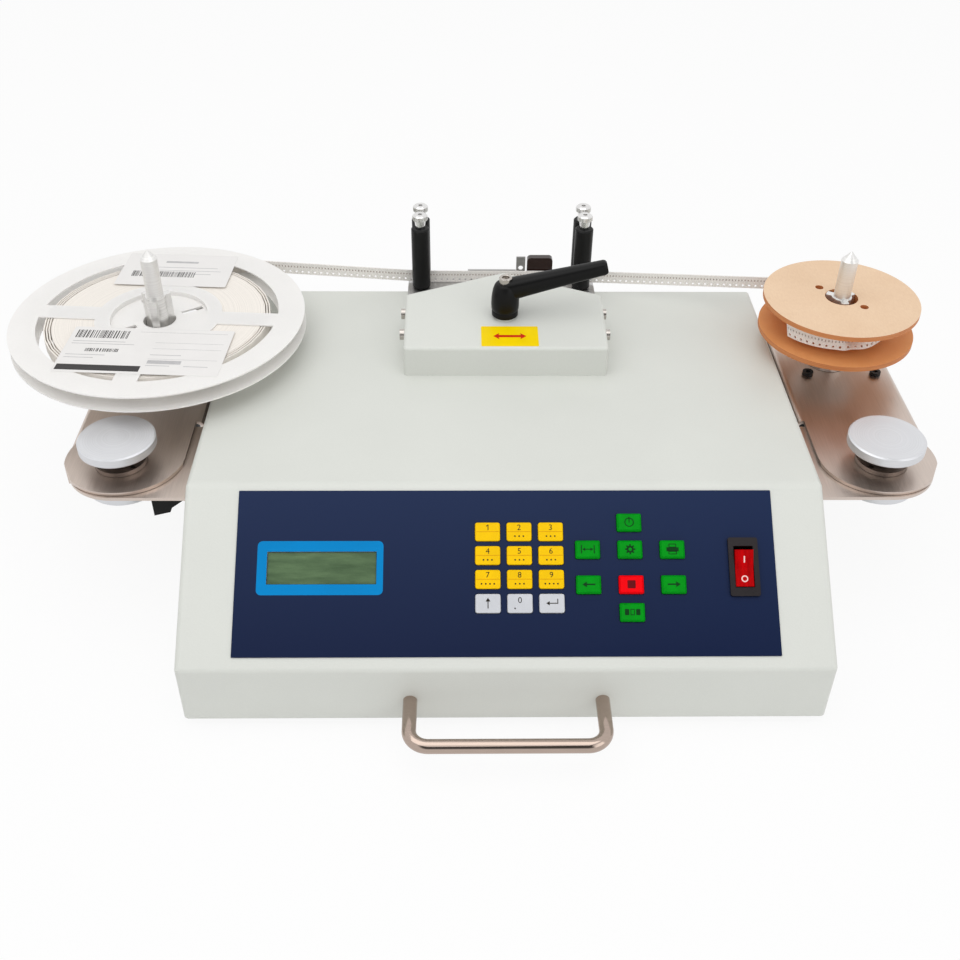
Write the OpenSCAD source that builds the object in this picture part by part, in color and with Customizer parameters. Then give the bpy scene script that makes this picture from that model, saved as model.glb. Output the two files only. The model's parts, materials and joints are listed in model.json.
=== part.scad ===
// Bench counter for components on carrier tape: a folded steel console with a sloped keypad,
// a tape head with guide rollers at the rear, and two swing arms that each drive a reel.
// Millimetres. The origin is on the bench under the middle of the case, +Z is up, the front faces -Y.

/* [Case] */
// Width of the case
case_w = 340; // [310:1:400]
// Depth of the case
case_d = 285; // [270:1:330]
// Height of the case above its feet
case_h = 94.2; // [88:0.2:110]
// Height of the upright front face
front_h = 36.4; // [32:0.2:44]
// Depth that the sloped panel takes up
slope_run = 80; // [76:0.5:96]
// Thickness of the case sheet
sheet = 1.5; // [1:0.1:2]
// Outer radius along the side edges
edge_r = 3; // [2.5:0.1:5]
// Outer radius of the bend between the top and the slope
fold_r = 9; // [5:0.5:11]
// Outer radius of the bend between the slope and the front
front_fold_r = 3; // [2.5:0.1:5]
// Clearance between the tray and the cover
tray_gap = 0.2; // [0.1:0.05:0.4]
// Height of the tray's turned-up sides
tray_lip = 14; // [11:0.5:24]
// Height of the feet
foot_h = 6; // [4:0.5:12]
// Diameter of the feet
foot_d = 20; // [14:1:30]
// Distance of the feet from the case edges
foot_inset = 25; // [20:1:40]

/* [Panel] */
// Distance of the printed panel sheet from the case sides
overlay_margin = 29; // [20:0.5:32]
// Length of the printed panel sheet up the slope
overlay_l = 88; // [84:0.5:92]
// Distance of the panel sheet from the front fold
overlay_start = 6.9; // [5:0.1:8]
// Thickness of the panel sheet
overlay_t = 0.6; // [0.4:0.1:1]
// Corner radius of the panel sheet
overlay_corner = 0.5; // [0.3:0.1:4]
// Centre line of the keys, the display and the switch, up the slope
row_s = 53.3; // [51:0.1:55]
// Width of a number key
key_w = 13; // [11:0.1:13.5]
// Length of a number key
key_l = 9.9; // [8:0.1:10.2]
// Width of a function key
fn_w = 12.9; // [11:0.1:15]
// Length of a function key
fn_l = 9.6; // [8:0.1:11]
// Height of the number keys above the panel sheet
num_rise = 0.9; // [0.8:0.1:1.6]
// Height of the function keys above the panel sheet
fn_rise = 1.8; // [1.2:0.1:2.5]
// Corner radius of the number keys
num_corner = 1.3; // [0.8:0.1:2]
// Clearance round a key
key_gap = 0.3; // [0.2:0.05:0.4]
// Travel of a key
key_travel = 0.8; // [0.5:0.1:1.2]
// Sideways pitch of the number keys
num_pitch_x = 16.55; // [15.8:0.05:17]
// Pitch of the number keys up the slope
num_pitch_s = 12.65; // [12.3:0.05:13.5]
// Distance of the number keys from the function keys
num_in = 58; // [55:0.1:60]
// Distance of the function keys from the mains switch
fn_in = 59.3; // [57:0.1:62]
// Sideways pitch of the function keys
fn_pitch_x = 22.2; // [19:0.1:23]
// Distance of the inner function rows from the centre line
fn_row_in = 9.3; // [7.5:0.1:10]
// Distance of the outer function keys from the centre line
fn_row_out = 23.8; // [22.5:0.1:26]
// Distance of the display from the left edge of the panel sheet
lcd_in = 44.8; // [42:0.1:49]
// Width of the display window
lcd_w = 57; // [50:0.5:64]
// Length of the display window
lcd_l = 17.3; // [14:0.1:20]
// Distance of the mains switch from the right edge of the panel sheet
switch_in = 16.9; // [14:0.1:20]
// Width of the mains switch collar
switch_w = 15.6; // [15:0.1:18]
// Length of the mains switch collar
switch_l = 31.1; // [30:0.1:34]
// Angle that the switch rocker leans to each side
rocker_lean = 10; // [6:0.5:11]

/* [Handle] */
// Diameter of the handle rod
handle_d = 7.5; // [7:0.1:11]
// Distance between the handle legs
handle_span = 100.5; // [80:0.5:140]
// Distance of the handle bar from the front face
handle_reach = 30; // [26:0.5:45]
// Bend radius of the handle at the middle of the rod
handle_bend = 10; // [8:0.5:14]
// Height of the handle above the case underside
handle_z = 13.8; // [11:0.2:18]

/* [Arms] */
// Distance of the arm pivots from the case sides
pivot_out = 42.5; // [40:0.5:50]
// Distance of the arm pivots behind the front face
pivot_back = 112.6; // [105:0.2:125]
// Depth of the arm tops below the case top
arm_drop = 10.2; // [8:0.2:16]
// Width of an arm
arm_w = 64; // [63:0.5:70]
// Thickness of the arm sheet
arm_sheet = 2; // [1.5:0.1:2.5]
// Depth of the arm flanges
arm_flange = 13; // [10:0.5:18]
// Outer bend radius of the arm flanges
arm_bend = 3; // [2.6:0.1:4]
// How much further the arm's plate reaches on the side of the case
arm_in = 2.5; // [1:0.5:3]
// How far the inner flange stands out from the plate's front edge
arm_step = 4.5; // [3.5:0.5:5]
// Reach of an arm behind its pivot
arm_back = 137; // [132:0.5:160]
// Reach of an arm in front of its pivot
arm_front = 27.5; // [26:0.5:31]
// Distance of the spindle behind the pivot
spindle_back = 102.4; // [98:0.2:106]
// Distance of the spindle inboard of the pivot
spindle_in = 5.5; // [4:0.1:6]
// Running gap between an arm and what it slides on
arm_gap = 0.2; // [0.15:0.05:0.4]
// Thickness of the bracket sheet
bracket_sheet = 2; // [1.5:0.1:2.5]
// Depth of the bracket flange on the case side
bracket_flange = 24; // [20:0.5:30]
// Reach of the bracket behind the pivot
bracket_back = 36; // [33:0.5:37]
// Diameter of the pivot post
post_d = 10; // [8:0.1:12]
// Radial clearance of shafts in their bores
shaft_gap = 0.05; // [0.02:0.01:0.08]
// Diameter of the clamping knobs
knob_d = 42.4; // [38:0.2:50]
// Thickness of the knob disc
knob_t = 6.4; // [4:0.2:8]
// Length of the knob neck
knob_neck = 7.7; // [6:0.1:12]
// Diameter of the knob neck
neck_d = 18; // [16:0.5:22]

/* [Spindles and reels] */
// Diameter of the spindle rod above the fins
rod_d = 10; // [8:0.1:11]
// Diameter of the spindle between the fins
fin_core = 12; // [11.4:0.1:14]
// Diameter of the motor shaft
shaft_d = 8; // [6:0.1:9]
// Height of the reel seat above the arm
seat_h = 23.2; // [20:0.2:28]
// Diameter of the reel seat
seat_d = 40; // [34:0.5:48]
// Diameter across the spindle fins
fin_d = 18.4; // [17:0.1:20]
// Height of the fins above the seat
fin_h = 23.8; // [23.6:0.2:27]
// Height of the rod above the fins
rod_h = 24.5; // [16:0.5:28]
// Height of the cone tip
tip_h = 5.5; // [4:0.5:10]
// Clearance of a reel hole round the fins
reel_gap = 0.6; // [0.4:0.1:1]
// Diameter of the supply reel
supply_d = 176; // [170:1:184]
// Diameter of the opening in the supply hub
supply_hub = 58; // [50:0.5:60]
// Thickness of the supply flanges
supply_t = 0.8; // [0.6:0.1:1.2]
// Gap between the supply flanges
supply_gap = 8.4; // [8.3:0.1:9]
// Width of the supply reel spokes
spoke_w = 14; // [10:0.5:18]
// Height of the supply hub's web above the reel seat
web_h = 7; // [4:0.2:8]
// Diameter of the take-up reel
takeup_d = 93; // [90:1:110]
// Thickness of the take-up boards
takeup_t = 3; // [2:0.1:4]
// Gap between the take-up boards
takeup_gap = 17.3; // [12:0.1:19]
// Diameter of the take-up core
takeup_core = 52; // [44:0.2:56]

/* [Tape path] */
// Width of the carrier tape
tape_w = 8; // [7.9:0.1:8.2]
// Thickness of the carrier tape
tape_t = 0.8; // [0.6:0.05:0.9]
// Radius of the solid part of the supply winding
pack_r = 63; // [50:0.5:66]
// Number of loose outer turns on the supply winding
pack_turns = 3; // [1:1:3]
// Step between the loose outer turns
pack_pitch = 1.5; // [1.4:0.05:1.7]
// Distance of the guide rollers from the middle of the head
roller_x = 53; // [50:0.5:56]
// Diameter of the guide rollers
roller_d = 11.8; // [10:0.1:12]
// Length of the guide rollers
roller_l = 42.4; // [36:0.2:60]
// Spacing of the front and rear rollers
roller_pair = 13.2; // [13.2:0.1:16]
// Distance of the tape line behind the case
tape_back = 7.7; // [7:0.1:14]
// Thickness of the track shelf
shelf_t = 3; // [2.6:0.1:4]
// Travel of the rear guide
guide_travel = 12; // [6:0.5:14]
// Diameter of the thumb screw heads
thumb_d = 9.8; // [8:0.1:11]
// Thickness of the thumb screw heads
thumb_t = 3.6; // [2.5:0.1:6]
// Length of the thumb screw necks
thumb_neck = 5.4; // [4:0.1:8]
// Height of the sensor bracket above the guide bar
sensor_h = 17.5; // [14:0.5:24]
// Width of the sensor window
sensor_w = 17; // [12:0.5:19]

/* [Head] */
// Distance of the head's middle from the middle of the case
head_off = 3.2; // [0:0.1:8]
// Width of the head cover
head_w = 122; // [120:0.5:128]
// Distance of the head's front face from the case back
head_front = 101.3; // [99:0.5:110]
// Length of the head's straight sides
head_side = 55; // [50:0.5:58]
// Length of the head from front to apex
head_len = 80; // [76:0.5:84]
// Height of the head at its front
head_h = 19.3; // [18:0.1:22]
// Rise of the head top along its straight sides
head_rise = 5; // [0:0.5:6]
// Edge radius of the head cover
head_r = 2; // [1.5:0.1:4]
// Wall of the head cover
head_wall = 2; // [1.5:0.1:2.5]
// Distance of the clamp lever's axis from the head's front face
lever_back = 32.6; // [24:0.2:36]
// Reach of the clamp lever
lever_l = 62.6; // [50:0.2:72]
// Angle that the clamp lever's arm rises
lever_rise = 13; // [5:0.5:20]
// Diameter of the clamp lever's hub
lever_d = 17; // [15:0.5:20]
// Height of the clamp lever's hub
lever_h = 21.6; // [20:0.2:30]
// Diameter of the clamp lever's stud
stud_d = 8; // [6:0.5:9]

/* [Hidden] */
$fn = 64;
eps = 0.01;
top_z = foot_h + case_h;
front_y = -case_d / 2;
back_y = case_d / 2;
slope_rise = case_h - front_h;
slope_a = atan2(slope_rise, slope_run);
slope_len = norm([slope_run, slope_rise]);
front_z = foot_h + front_h;
fold_y = front_y + slope_run;
fold_c = [fold_y + fold_r * tan(slope_a / 2), top_z - fold_r];
front_c = [front_y + front_fold_r, front_z - front_fold_r * tan((90 - slope_a) / 2)];
slope_n = [-sin(slope_a), cos(slope_a)];

// arms and reels
pivot_x = case_w / 2 + pivot_out;
pivot_y = front_y + pivot_back;
arm_z = top_z - arm_drop;
bracket_z = arm_z - arm_sheet - arm_gap;
bracket_r = arm_w / 2 - arm_bend;
spin_x = pivot_x - spindle_in;
spin_y = pivot_y + spindle_back;
seat_z = arm_z + seat_h;
seat_t = 3;
hub_d = 24;
reel_hole = fin_d + 2 * reel_gap;
motor_w = arm_w - 2 * arm_bend - 8;
motor_l = 40;
motor_h = 18;
motor_can_d = 37;
motor_can_l = 34;
motor_screw = [motor_w / 2 - 4, 14];
screw_head_d = 6.6;
screw_head_t = 3;
screw_d = 4;
screw_gap = 0.1;
screw_reach = 12;

// tape line
shelf_z = top_z + shelf_t;
tape_gap = 0.2;
tape_y = back_y + tape_back;
tape_z = shelf_z + tape_gap + tape_w / 2;
front_roller_y = tape_y - roller_pair / 2;
rear_roller_y = tape_y + roller_pair / 2;
roller_gap = 0.3;
bar_z = shelf_z + roller_gap;
roller_z = bar_z + roller_gap;
axle_d = 5;
thumb_hole = 2.6;
rim = 0.8;
supply_c = [-spin_x, spin_y];
takeup_c = [spin_x, spin_y];
supply_tape_z = seat_z + supply_t + supply_gap / 2;
takeup_tape_z = seat_z + takeup_t + takeup_gap / 2;
left_bend = [head_off - roller_x, tape_y];
right_bend = [head_off + roller_x + 1, tape_y];
wind_start = pack_r + 0.2;
wind_end = wind_start + pack_turns * pack_pitch;
catch_r = takeup_core / 2 + 0.3 + tape_t / 2;
loose_r = takeup_d / 2 - 7;
rim_gap = 0.6;

// angle of the line from a bend to the tangent of a circle, and its length
function line_angle(p, c, r, side) =
    atan2(c[1] - p[1], c[0] - p[0]) + side * asin(r / norm(c - p));
function line_length(p, c, r) = sqrt(pow(norm(c - p), 2) - r * r);
function polar(r, a) = [r * cos(a), r * sin(a)];
left_a = line_angle(left_bend, supply_c, wind_end, -1) - 180;
right_a = line_angle(right_bend, takeup_c, catch_r, 1);

// head
head_y = back_y - head_front;
head_apex_y = head_y + head_len;
head_top = top_z + head_h;
lever_y = head_y + lever_back;
lever_z = head_top + head_rise * (lever_back + lever_d / 2) / head_side + tray_gap;
stud_gap = 0.3;
tab_x = head_w / 2 - head_wall - tray_gap;
tab_t = 1.5;
tab_reach = 5;
tab_rise = 3;
tongue_w = 24;
tongue_t = 1.5;
groove_gap = 0.2;
bar_depth = 9.7;
bar_y = tape_y + 3.6;
wall_y = tape_y + tape_t / 2 + 1;
wall_end = 22.1;
wall_l = 32;

// panel
overlay_w = case_w - 2 * overlay_margin;
lcd_x = -overlay_w / 2 + lcd_in;
switch_x = overlay_w / 2 - switch_in;
fn_x = switch_x - fn_in;
num_x = fn_x - num_in;
num_bevel = 0.25;
fn_bevel = 0.9;
fn_corner = 0.9;
lcd_depth = 5;
lcd_frame = [7, 3.5];
lcd_board = [11.5, 9.5];
key_flange = 1;
key_seat = sheet + key_gap;
switch_top = key_seat + key_flange + key_travel + 0.3;
tact_h = 4;
tact_w = 6;
board_n = switch_top + tact_h;
board_t = 1.6;
post_inset = 4;
board_side = [10, 12];
board_reach = 36;
board_x0 = num_x - num_pitch_x - key_w / 2 - board_side[0];
board_x1 = fn_x + fn_pitch_x + fn_w / 2 + board_side[1];
board_s0 = row_s - board_reach;
board_s1 = row_s + board_reach;
body_w = switch_w - 2.6;
body_l = switch_l - 2.9;
collar_t = 1.6;
rocker_w = 9.5;
rocker_l = 19.2;
rocker_n = -2.5;
rocker_side = 0.35;
rocker_end = 1.4;
rocker_pin = 3;

// mains inlet
inlet_in = 70;
inlet_up = 32;
inlet_x = -case_w / 2 + inlet_in;
inlet_z = foot_h + inlet_up;
inlet_w = 36;
inlet_h = 27;
inlet_plate = 2.5;
socket_w = 24.4;
socket_h = 16.4;
socket_depth = 17;
socket_wall = 2;

// boxed supply on the tray
psu = [110, 78, 36];
psu_side = 30;
psu_back = 32;
psu_end = [10, 58, 16];

// flat outline with its two top corners rounded, hanging down from y = 0
module bend_profile(w, h, r) {
    translate([-w / 2, -h]) square([w, h - r]);
    translate([-w / 2 + r, -h]) square([w - 2 * r, h]);
    translate([-w / 2 + r, -r]) circle(r);
    translate([w / 2 - r, -r]) circle(r);
}

// rectangle with rounded corners, centred
module round_rect(w, l, r) {
    square([w - 2 * r, l], center = true);
    square([w, l - 2 * r], center = true);
    for (x = [-1, 1], y = [-1, 1])
        translate([x * (w / 2 - r), y * (l / 2 - r)]) circle(r);
}

// frame of the tape head: x from the head's middle
module on_head() {
    translate([head_off, 0, 0]) children();
}

// frame of the sloped panel: x across, y up the slope, z out of the panel
module on_slope() {
    translate([0, front_y, front_z]) rotate([slope_a, 0, 0]) children();
}

// draws the right-hand piece, or its mirror image on the left
module side(s) {
    if (s < 0) {
        mirror([1, 0, 0]) children();
    } else {
        children();
    }
}

// side view of the folded case, drawn in by a margin, open below and behind where drawn in
module case_outline(inset) {
    low = inset > 0 ? foot_h - 5 : foot_h;
    far = inset > 0 ? back_y + 5 : back_y;
    polygon([
        [front_y + inset, low],
        [front_y + inset, front_c[1]],
        front_c + (front_fold_r - inset) * slope_n,
        fold_c + (fold_r - inset) * slope_n,
        [fold_c[0], top_z - inset],
        [far, top_z - inset],
        [far, low]
    ]);
    translate(fold_c) circle(fold_r - inset);
    translate(front_c) circle(front_fold_r - inset);
}

// whole case as a rounded block, drawn in by a margin
module case_form(inset) {
    w = case_w - 2 * inset;
    r = max(edge_r - inset, 0.3);
    intersection() {
        translate([-w / 2, 0, 0]) rotate([90, 0, 90]) linear_extrude(w) case_outline(inset);
        translate([0, back_y + 10, top_z - inset])
            rotate([90, 0, 0]) linear_extrude(case_d + 20) bend_profile(w, case_h + 20, r);
        on_slope() translate([0, case_d * 2, -inset])
            rotate([90, 0, 0]) linear_extrude(case_d * 4) bend_profile(w, case_d * 2, r);
        translate([0, front_y + inset, foot_h - 10])
            linear_extrude(case_h + 20) mirror([0, 1, 0]) bend_profile(w, case_d + 20, r);
    }
}

// places of the case fasteners: position, and direction from head to shank
side_screw_y = [front_y + 60, back_y - 60];
side_screw_z = foot_h + sheet + 6;
bracket_screw_y = [pivot_y - 18, pivot_y + 24];
bracket_screw_z = bracket_z - bracket_flange + 8;
head_screw_y = [head_y + head_side - 31, head_y + head_side - 6.7];
head_screw_z = head_top - 5.3;

module screw() {
    difference() {
        union() {
            translate([0, 0, -screw_head_t]) cylinder(d = screw_head_d, h = screw_head_t);
            translate([0, 0, -eps]) cylinder(d = screw_d, h = 7);
        }
        translate([0, 0, -screw_head_t - 1]) cylinder(d = 3.5, h = 2.8, $fn = 6);
    }
}

// z of the child points inward along the fastener
module at_screws(cover = true, brackets = true, head = true, handle = true) {
    for (s = [-1, 1]) {
        if (cover)
            for (y = side_screw_y)
                translate([s * case_w / 2, y, side_screw_z]) rotate([0, -s * 90, 0]) children();
        if (brackets)
            for (y = bracket_screw_y)
                translate([s * (case_w / 2 + bracket_sheet), y, bracket_screw_z])
                    rotate([0, -s * 90, 0]) children();
        if (head)
            for (y = head_screw_y)
                translate([head_off + s * head_w / 2, y, head_screw_z])
                    rotate([0, -s * 90, 0]) children();
        if (handle)
            translate([s * handle_span / 2, front_y + sheet, foot_h + handle_z])
                rotate([90, 0, 0]) children();
    }
}

module screw_hole() {
    translate([0, 0, -screw_reach]) cylinder(d = screw_d + 2 * screw_gap, h = 2 * screw_reach);
}

module case_screws() {
    color("silver") at_screws() screw();
}

module base_tray() {
    w = case_w - 2 * (sheet + tray_gap);
    color("gainsboro") difference() {
        intersection() {
            case_form(sheet + tray_gap);
            union() {
                translate([-case_w / 2, front_y, foot_h]) cube([case_w, case_d, sheet]);
                translate([-case_w / 2, back_y - sheet, foot_h]) cube([case_w, sheet, case_h]);
                for (s = [-1, 1])
                    translate([s * (w / 2 - sheet / 2) - sheet / 2, front_y, foot_h])
                        cube([sheet, case_d, tray_lip]);
            }
        }
        at_screws(brackets = false, head = false, handle = false) screw_hole();
        translate([inlet_x, back_y - 10, inlet_z]) rotate([-90, 0, 0])
            linear_extrude(20) square(
                [socket_w + 2 * socket_wall + 0.4, socket_h + 2 * socket_wall + 0.4], center = true);
    }
}

// openings through the cover and the panel sheet
module panel_cuts() {
    on_slope() translate([0, 0, -10]) linear_extrude(20) {
        for (c = [-1:1], r = [0:3])
            translate(num_pos(c, r))
                round_rect(key_w + 2 * key_gap, key_l + 2 * key_gap, num_corner + key_gap);
        for (p = fn_places)
            translate(fn_pos(p))
                round_rect(fn_w + 2 * key_gap, fn_l + 2 * key_gap, fn_corner + key_gap);
        translate([lcd_x, row_s]) square([lcd_w, lcd_l], center = true);
        translate([switch_x, row_s]) square([body_w + 0.4, body_l + 0.4], center = true);
    }
}

function num_pos(c, r) = [num_x + c * num_pitch_x, row_s + (1.5 - r) * num_pitch_s];
function fn_pos(p) = [fn_x + p[0] * fn_pitch_x, row_s + p[1]];
fn_places = [
    [0, fn_row_out], [-1, fn_row_in], [0, fn_row_in], [1, fn_row_in],
    [-1, -fn_row_in], [0, -fn_row_in], [1, -fn_row_in], [0, -fn_row_out]
];

module top_cover() {
    color("whitesmoke") difference() {
        union() {
            difference() {
                case_form(0);
                case_form(sheet);
            }
            // studs that carry the key board
            on_slope() for (x = [board_x0 + post_inset, board_x1 - post_inset],
                            s = [board_s0 + post_inset, board_s1 - post_inset])
                translate([x, s, -board_n]) cylinder(d = 5, h = board_n - sheet / 2);
            // nut welded under the top for the lever stud
            translate([head_off, lever_y, top_z - sheet - 8]) cylinder(d = 18, h = 8 + sheet / 2);
        }
        panel_cuts();
        translate([head_off, lever_y, top_z - 20]) cylinder(d = stud_d + 2 * shaft_gap, h = 30);
        at_screws(head = false) screw_hole();
    }
}

module rubber_feet() {
    color("dimgray")
        for (x = [-1, 1], y = [-1, 1])
            translate([x * (case_w / 2 - foot_inset), y * (case_d / 2 - foot_inset), 0])
                cylinder(d = foot_d, h = foot_h);
}

module front_overlay() {
    color("midnightblue") difference() {
        on_slope() translate([0, overlay_start + overlay_l / 2, 0])
            linear_extrude(overlay_t) round_rect(overlay_w, overlay_l, overlay_corner);
        panel_cuts();
    }
}

module lcd_module() {
    color("darkolivegreen") on_slope() translate([lcd_x, row_s, 0]) {
        translate([0, 0, -sheet - lcd_depth]) linear_extrude(lcd_depth + sheet - 0.3)
            square([lcd_w - 2 * key_gap, lcd_l - 2 * key_gap], center = true);
        translate([0, 0, -sheet - lcd_depth - eps]) linear_extrude(lcd_depth)
            square([lcd_w + 2 * lcd_frame[0], lcd_l + 2 * lcd_frame[1]], center = true);
        translate([0, 0, -sheet - lcd_depth - board_t]) linear_extrude(board_t)
            square([lcd_w + 2 * lcd_board[0], lcd_l + 2 * lcd_board[1]], center = true);
    }
}

// push contact on the board under a key
module tact() {
    translate([-tact_w / 2, -tact_w / 2, -board_n - eps]) cube([tact_w, tact_w, tact_h]);
}

module control_board() {
    color("green") on_slope() {
        translate([board_x0, board_s0, -board_n - board_t])
            cube([board_x1 - board_x0, board_s1 - board_s0, board_t]);
        for (c = [-1:1], r = [0:3])
            translate(num_pos(c, r)) tact();
        for (p = fn_places)
            translate(fn_pos(p)) tact();
    }
}

module power_supply() {
    color("silver") {
        translate([case_w / 2 - psu_side - psu[0], back_y - psu_back - psu[1], foot_h + sheet]) cube(psu);
        translate([case_w / 2 - psu_side - psu[0] - psu_end[0], back_y - psu_back - (psu[1] + psu_end[1]) / 2,
                   foot_h + sheet]) cube([psu_end[0] + eps, psu_end[1], psu_end[2]]);
    }
}

module front_handle() {
    reach = handle_reach - handle_bend;
    span = handle_span / 2 - handle_bend;
    color("silver") translate([0, front_y, foot_h + handle_z]) difference() {
        union() {
            for (s = [-1, 1]) {
                translate([s * handle_span / 2, 0, 0]) rotate([90, 0, 0])
                    cylinder(d = handle_d, h = reach);
                translate([s * span, -reach, 0]) rotate([0, 0, s < 0 ? 180 : 270])
                    rotate_extrude(angle = 90) translate([handle_bend, 0]) circle(d = handle_d);
            }
            translate([-span, -handle_reach, 0]) rotate([0, 90, 0]) cylinder(d = handle_d, h = 2 * span);
        }
        for (s = [-1, 1])
            translate([s * handle_span / 2, 1, 0]) rotate([90, 0, 0])
                cylinder(d = screw_d + 2 * screw_gap, h = 8);
    }
}

module switch_housing() {
    slot_w = rocker_w + 2 * rocker_side;
    slot_l = rocker_l + 2 * rocker_end;
    color("black") on_slope() translate([switch_x, row_s, 0]) difference() {
        union() {
            translate([0, 0, overlay_t]) linear_extrude(collar_t) round_rect(switch_w, switch_l, 1.2);
            translate([0, 0, -20])
                linear_extrude(20 + overlay_t + eps) square([body_w, body_l], center = true);
        }
        translate([0, 0, -14]) linear_extrude(20) square([slot_w, slot_l], center = true);
        translate([-body_w, 0, rocker_n]) rotate([0, 90, 0])
            cylinder(d = rocker_pin + 2 * shaft_gap, h = 2 * body_w);
    }
}

module power_rocker() {
    h = rocker_l / 2;
    color("red") on_slope() translate([switch_x, row_s, rocker_n]) rotate([rocker_lean, 0, 0]) {
        translate([-rocker_w / 2, 0, 0]) rotate([90, 0, 90]) linear_extrude(rocker_w)
            polygon([[-h, 5.9], [0, 4.7], [h, 5.9], [h, -1], [h * 0.5, -6], [-h * 0.5, -6], [-h, -1]]);
        translate([-body_w / 2 + 0.4, 0, 0]) rotate([0, 90, 0])
            cylinder(d = rocker_pin, h = body_w - 0.8);
    }
}

module mains_inlet() {
    color("black") translate([inlet_x, back_y, inlet_z]) {
        difference() {
            union() {
                rotate([-90, 0, 0]) linear_extrude(inlet_plate) round_rect(inlet_w, inlet_h, 4);
                translate([0, -socket_depth - 3, 0]) rotate([-90, 0, 0])
                    linear_extrude(socket_depth + 3 + eps)
                    square([socket_w + 2 * socket_wall, socket_h + 2 * socket_wall], center = true);
            }
            translate([0, -socket_depth + inlet_plate, 0]) rotate([-90, 0, 0])
                linear_extrude(socket_depth + 1) square([socket_w, socket_h], center = true);
        }
        for (p = [[-7, -3.4], [0, 1.8], [7, -3.4]])
            translate([p[0] - 1, -socket_depth - 1, p[1] - 2]) cube([2, socket_depth, 4]);
    }
}

module number_key(c, r, tint) {
    place_key(num_pos(c, r), [key_w, key_l], num_rise, num_bevel, num_corner, tint);
}

module function_key(i, tint) {
    place_key(fn_pos(fn_places[i]), [fn_w, fn_l], fn_rise, fn_bevel, fn_corner, tint);
}

// key with a bevelled cap above the panel and a wider foot under the cover
module place_key(p, size, rise, bevel, corner, tint) {
    w = size[0];
    l = size[1];
    top = overlay_t + rise;
    color(tint) on_slope() translate(p) {
        intersection() {
            rotate([90, 0, 0]) translate([0, 0, -l / 2]) linear_extrude(l) key_profile(w, top, bevel);
            rotate([90, 0, 90]) translate([0, 0, -w / 2]) linear_extrude(w) key_profile(l, top, bevel);
            translate([0, 0, -key_seat - 2 * eps])
                linear_extrude(key_seat + top + 1) round_rect(w, l, corner);
        }
        translate([-w / 2 - 0.7, -l / 2 - 0.6, -key_seat - key_flange])
            cube([w + 1.4, l + 1.2, key_flange]);
    }
}

module key_profile(w, top, bevel) {
    polygon([
        [-w / 2, -key_seat - eps], [w / 2, -key_seat - eps], [w / 2, top - bevel],
        [w / 2 - bevel, top], [-w / 2 + bevel, top], [-w / 2, top - bevel]
    ]);
}

module key_1() number_key(-1, 0, "gold");
module key_2() number_key(0, 0, "gold");
module key_3() number_key(1, 0, "gold");
module key_4() number_key(-1, 1, "gold");
module key_5() number_key(0, 1, "gold");
module key_6() number_key(1, 1, "gold");
module key_7() number_key(-1, 2, "gold");
module key_8() number_key(0, 2, "gold");
module key_9() number_key(1, 2, "gold");
module key_up() number_key(-1, 3, "white");
module key_0() number_key(0, 3, "white");
module key_enter() number_key(1, 3, "white");
module fn_top() function_key(0, "green");
module fn_upper_left() function_key(1, "green");
module fn_upper_mid() function_key(2, "green");
module fn_upper_right() function_key(3, "green");
module fn_lower_left() function_key(4, "green");
module fn_stop() function_key(5, "red");
module fn_lower_right() function_key(6, "green");
module fn_bottom() function_key(7, "green");

// plate that carries the tape, the front rollers and the head
module track_shelf() {
    wide = 2 * roller_x + roller_d + 6;
    inner = 2 * tab_x;
    start = head_y + head_wall + 0.8;
    color("silver") on_head() difference() {
        union() {
            translate([-inner / 2, start, top_z]) cube([inner, head_apex_y - start + 6, shelf_t]);
            translate([-wide / 2, head_apex_y + 1, top_z])
                cube([wide, bar_y - groove_gap - head_apex_y - 1, shelf_t]);
            // tabs that the head cover is screwed to
            for (s = [-1, 1])
                translate([s * (tab_x - tab_t / 2) - tab_t / 2, head_screw_y[0] - tab_reach, top_z])
                    cube([tab_t, head_screw_y[1] - head_screw_y[0] + 2 * tab_reach,
                          head_screw_z - top_z + tab_rise]);
        }
        translate([-tongue_w / 2 - groove_gap, start - 5, top_z - 1])
            cube([tongue_w + 2 * groove_gap, case_d, 1 + tongue_t + 2 * groove_gap]);
        translate([0, lever_y, top_z - 1]) cylinder(d = stud_d + 2 * stud_gap, h = shelf_t + 2);
        for (s = [-1, 1])
            translate([s * roller_x, front_roller_y, top_z - 1])
                cylinder(d = axle_d + 2 * shaft_gap, h = shelf_t + 2);
        translate([-head_off, 0, 0])
            at_screws(cover = false, brackets = false, handle = false) screw_hole();
    }
}

// plan corners of the head, drawn in by a margin
function head_plan(m) = [
    [-head_w / 2 + m, head_y + m],
    [head_w / 2 - m, head_y + m],
    [head_w / 2 - m, head_y + head_side - m * 0.4],
    [0, head_apex_y - m * 1.1],
    [-head_w / 2 + m, head_y + head_side - m * 0.4]
];
function head_roof(y) = head_top + head_rise * (y - head_y) / head_side;

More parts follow.
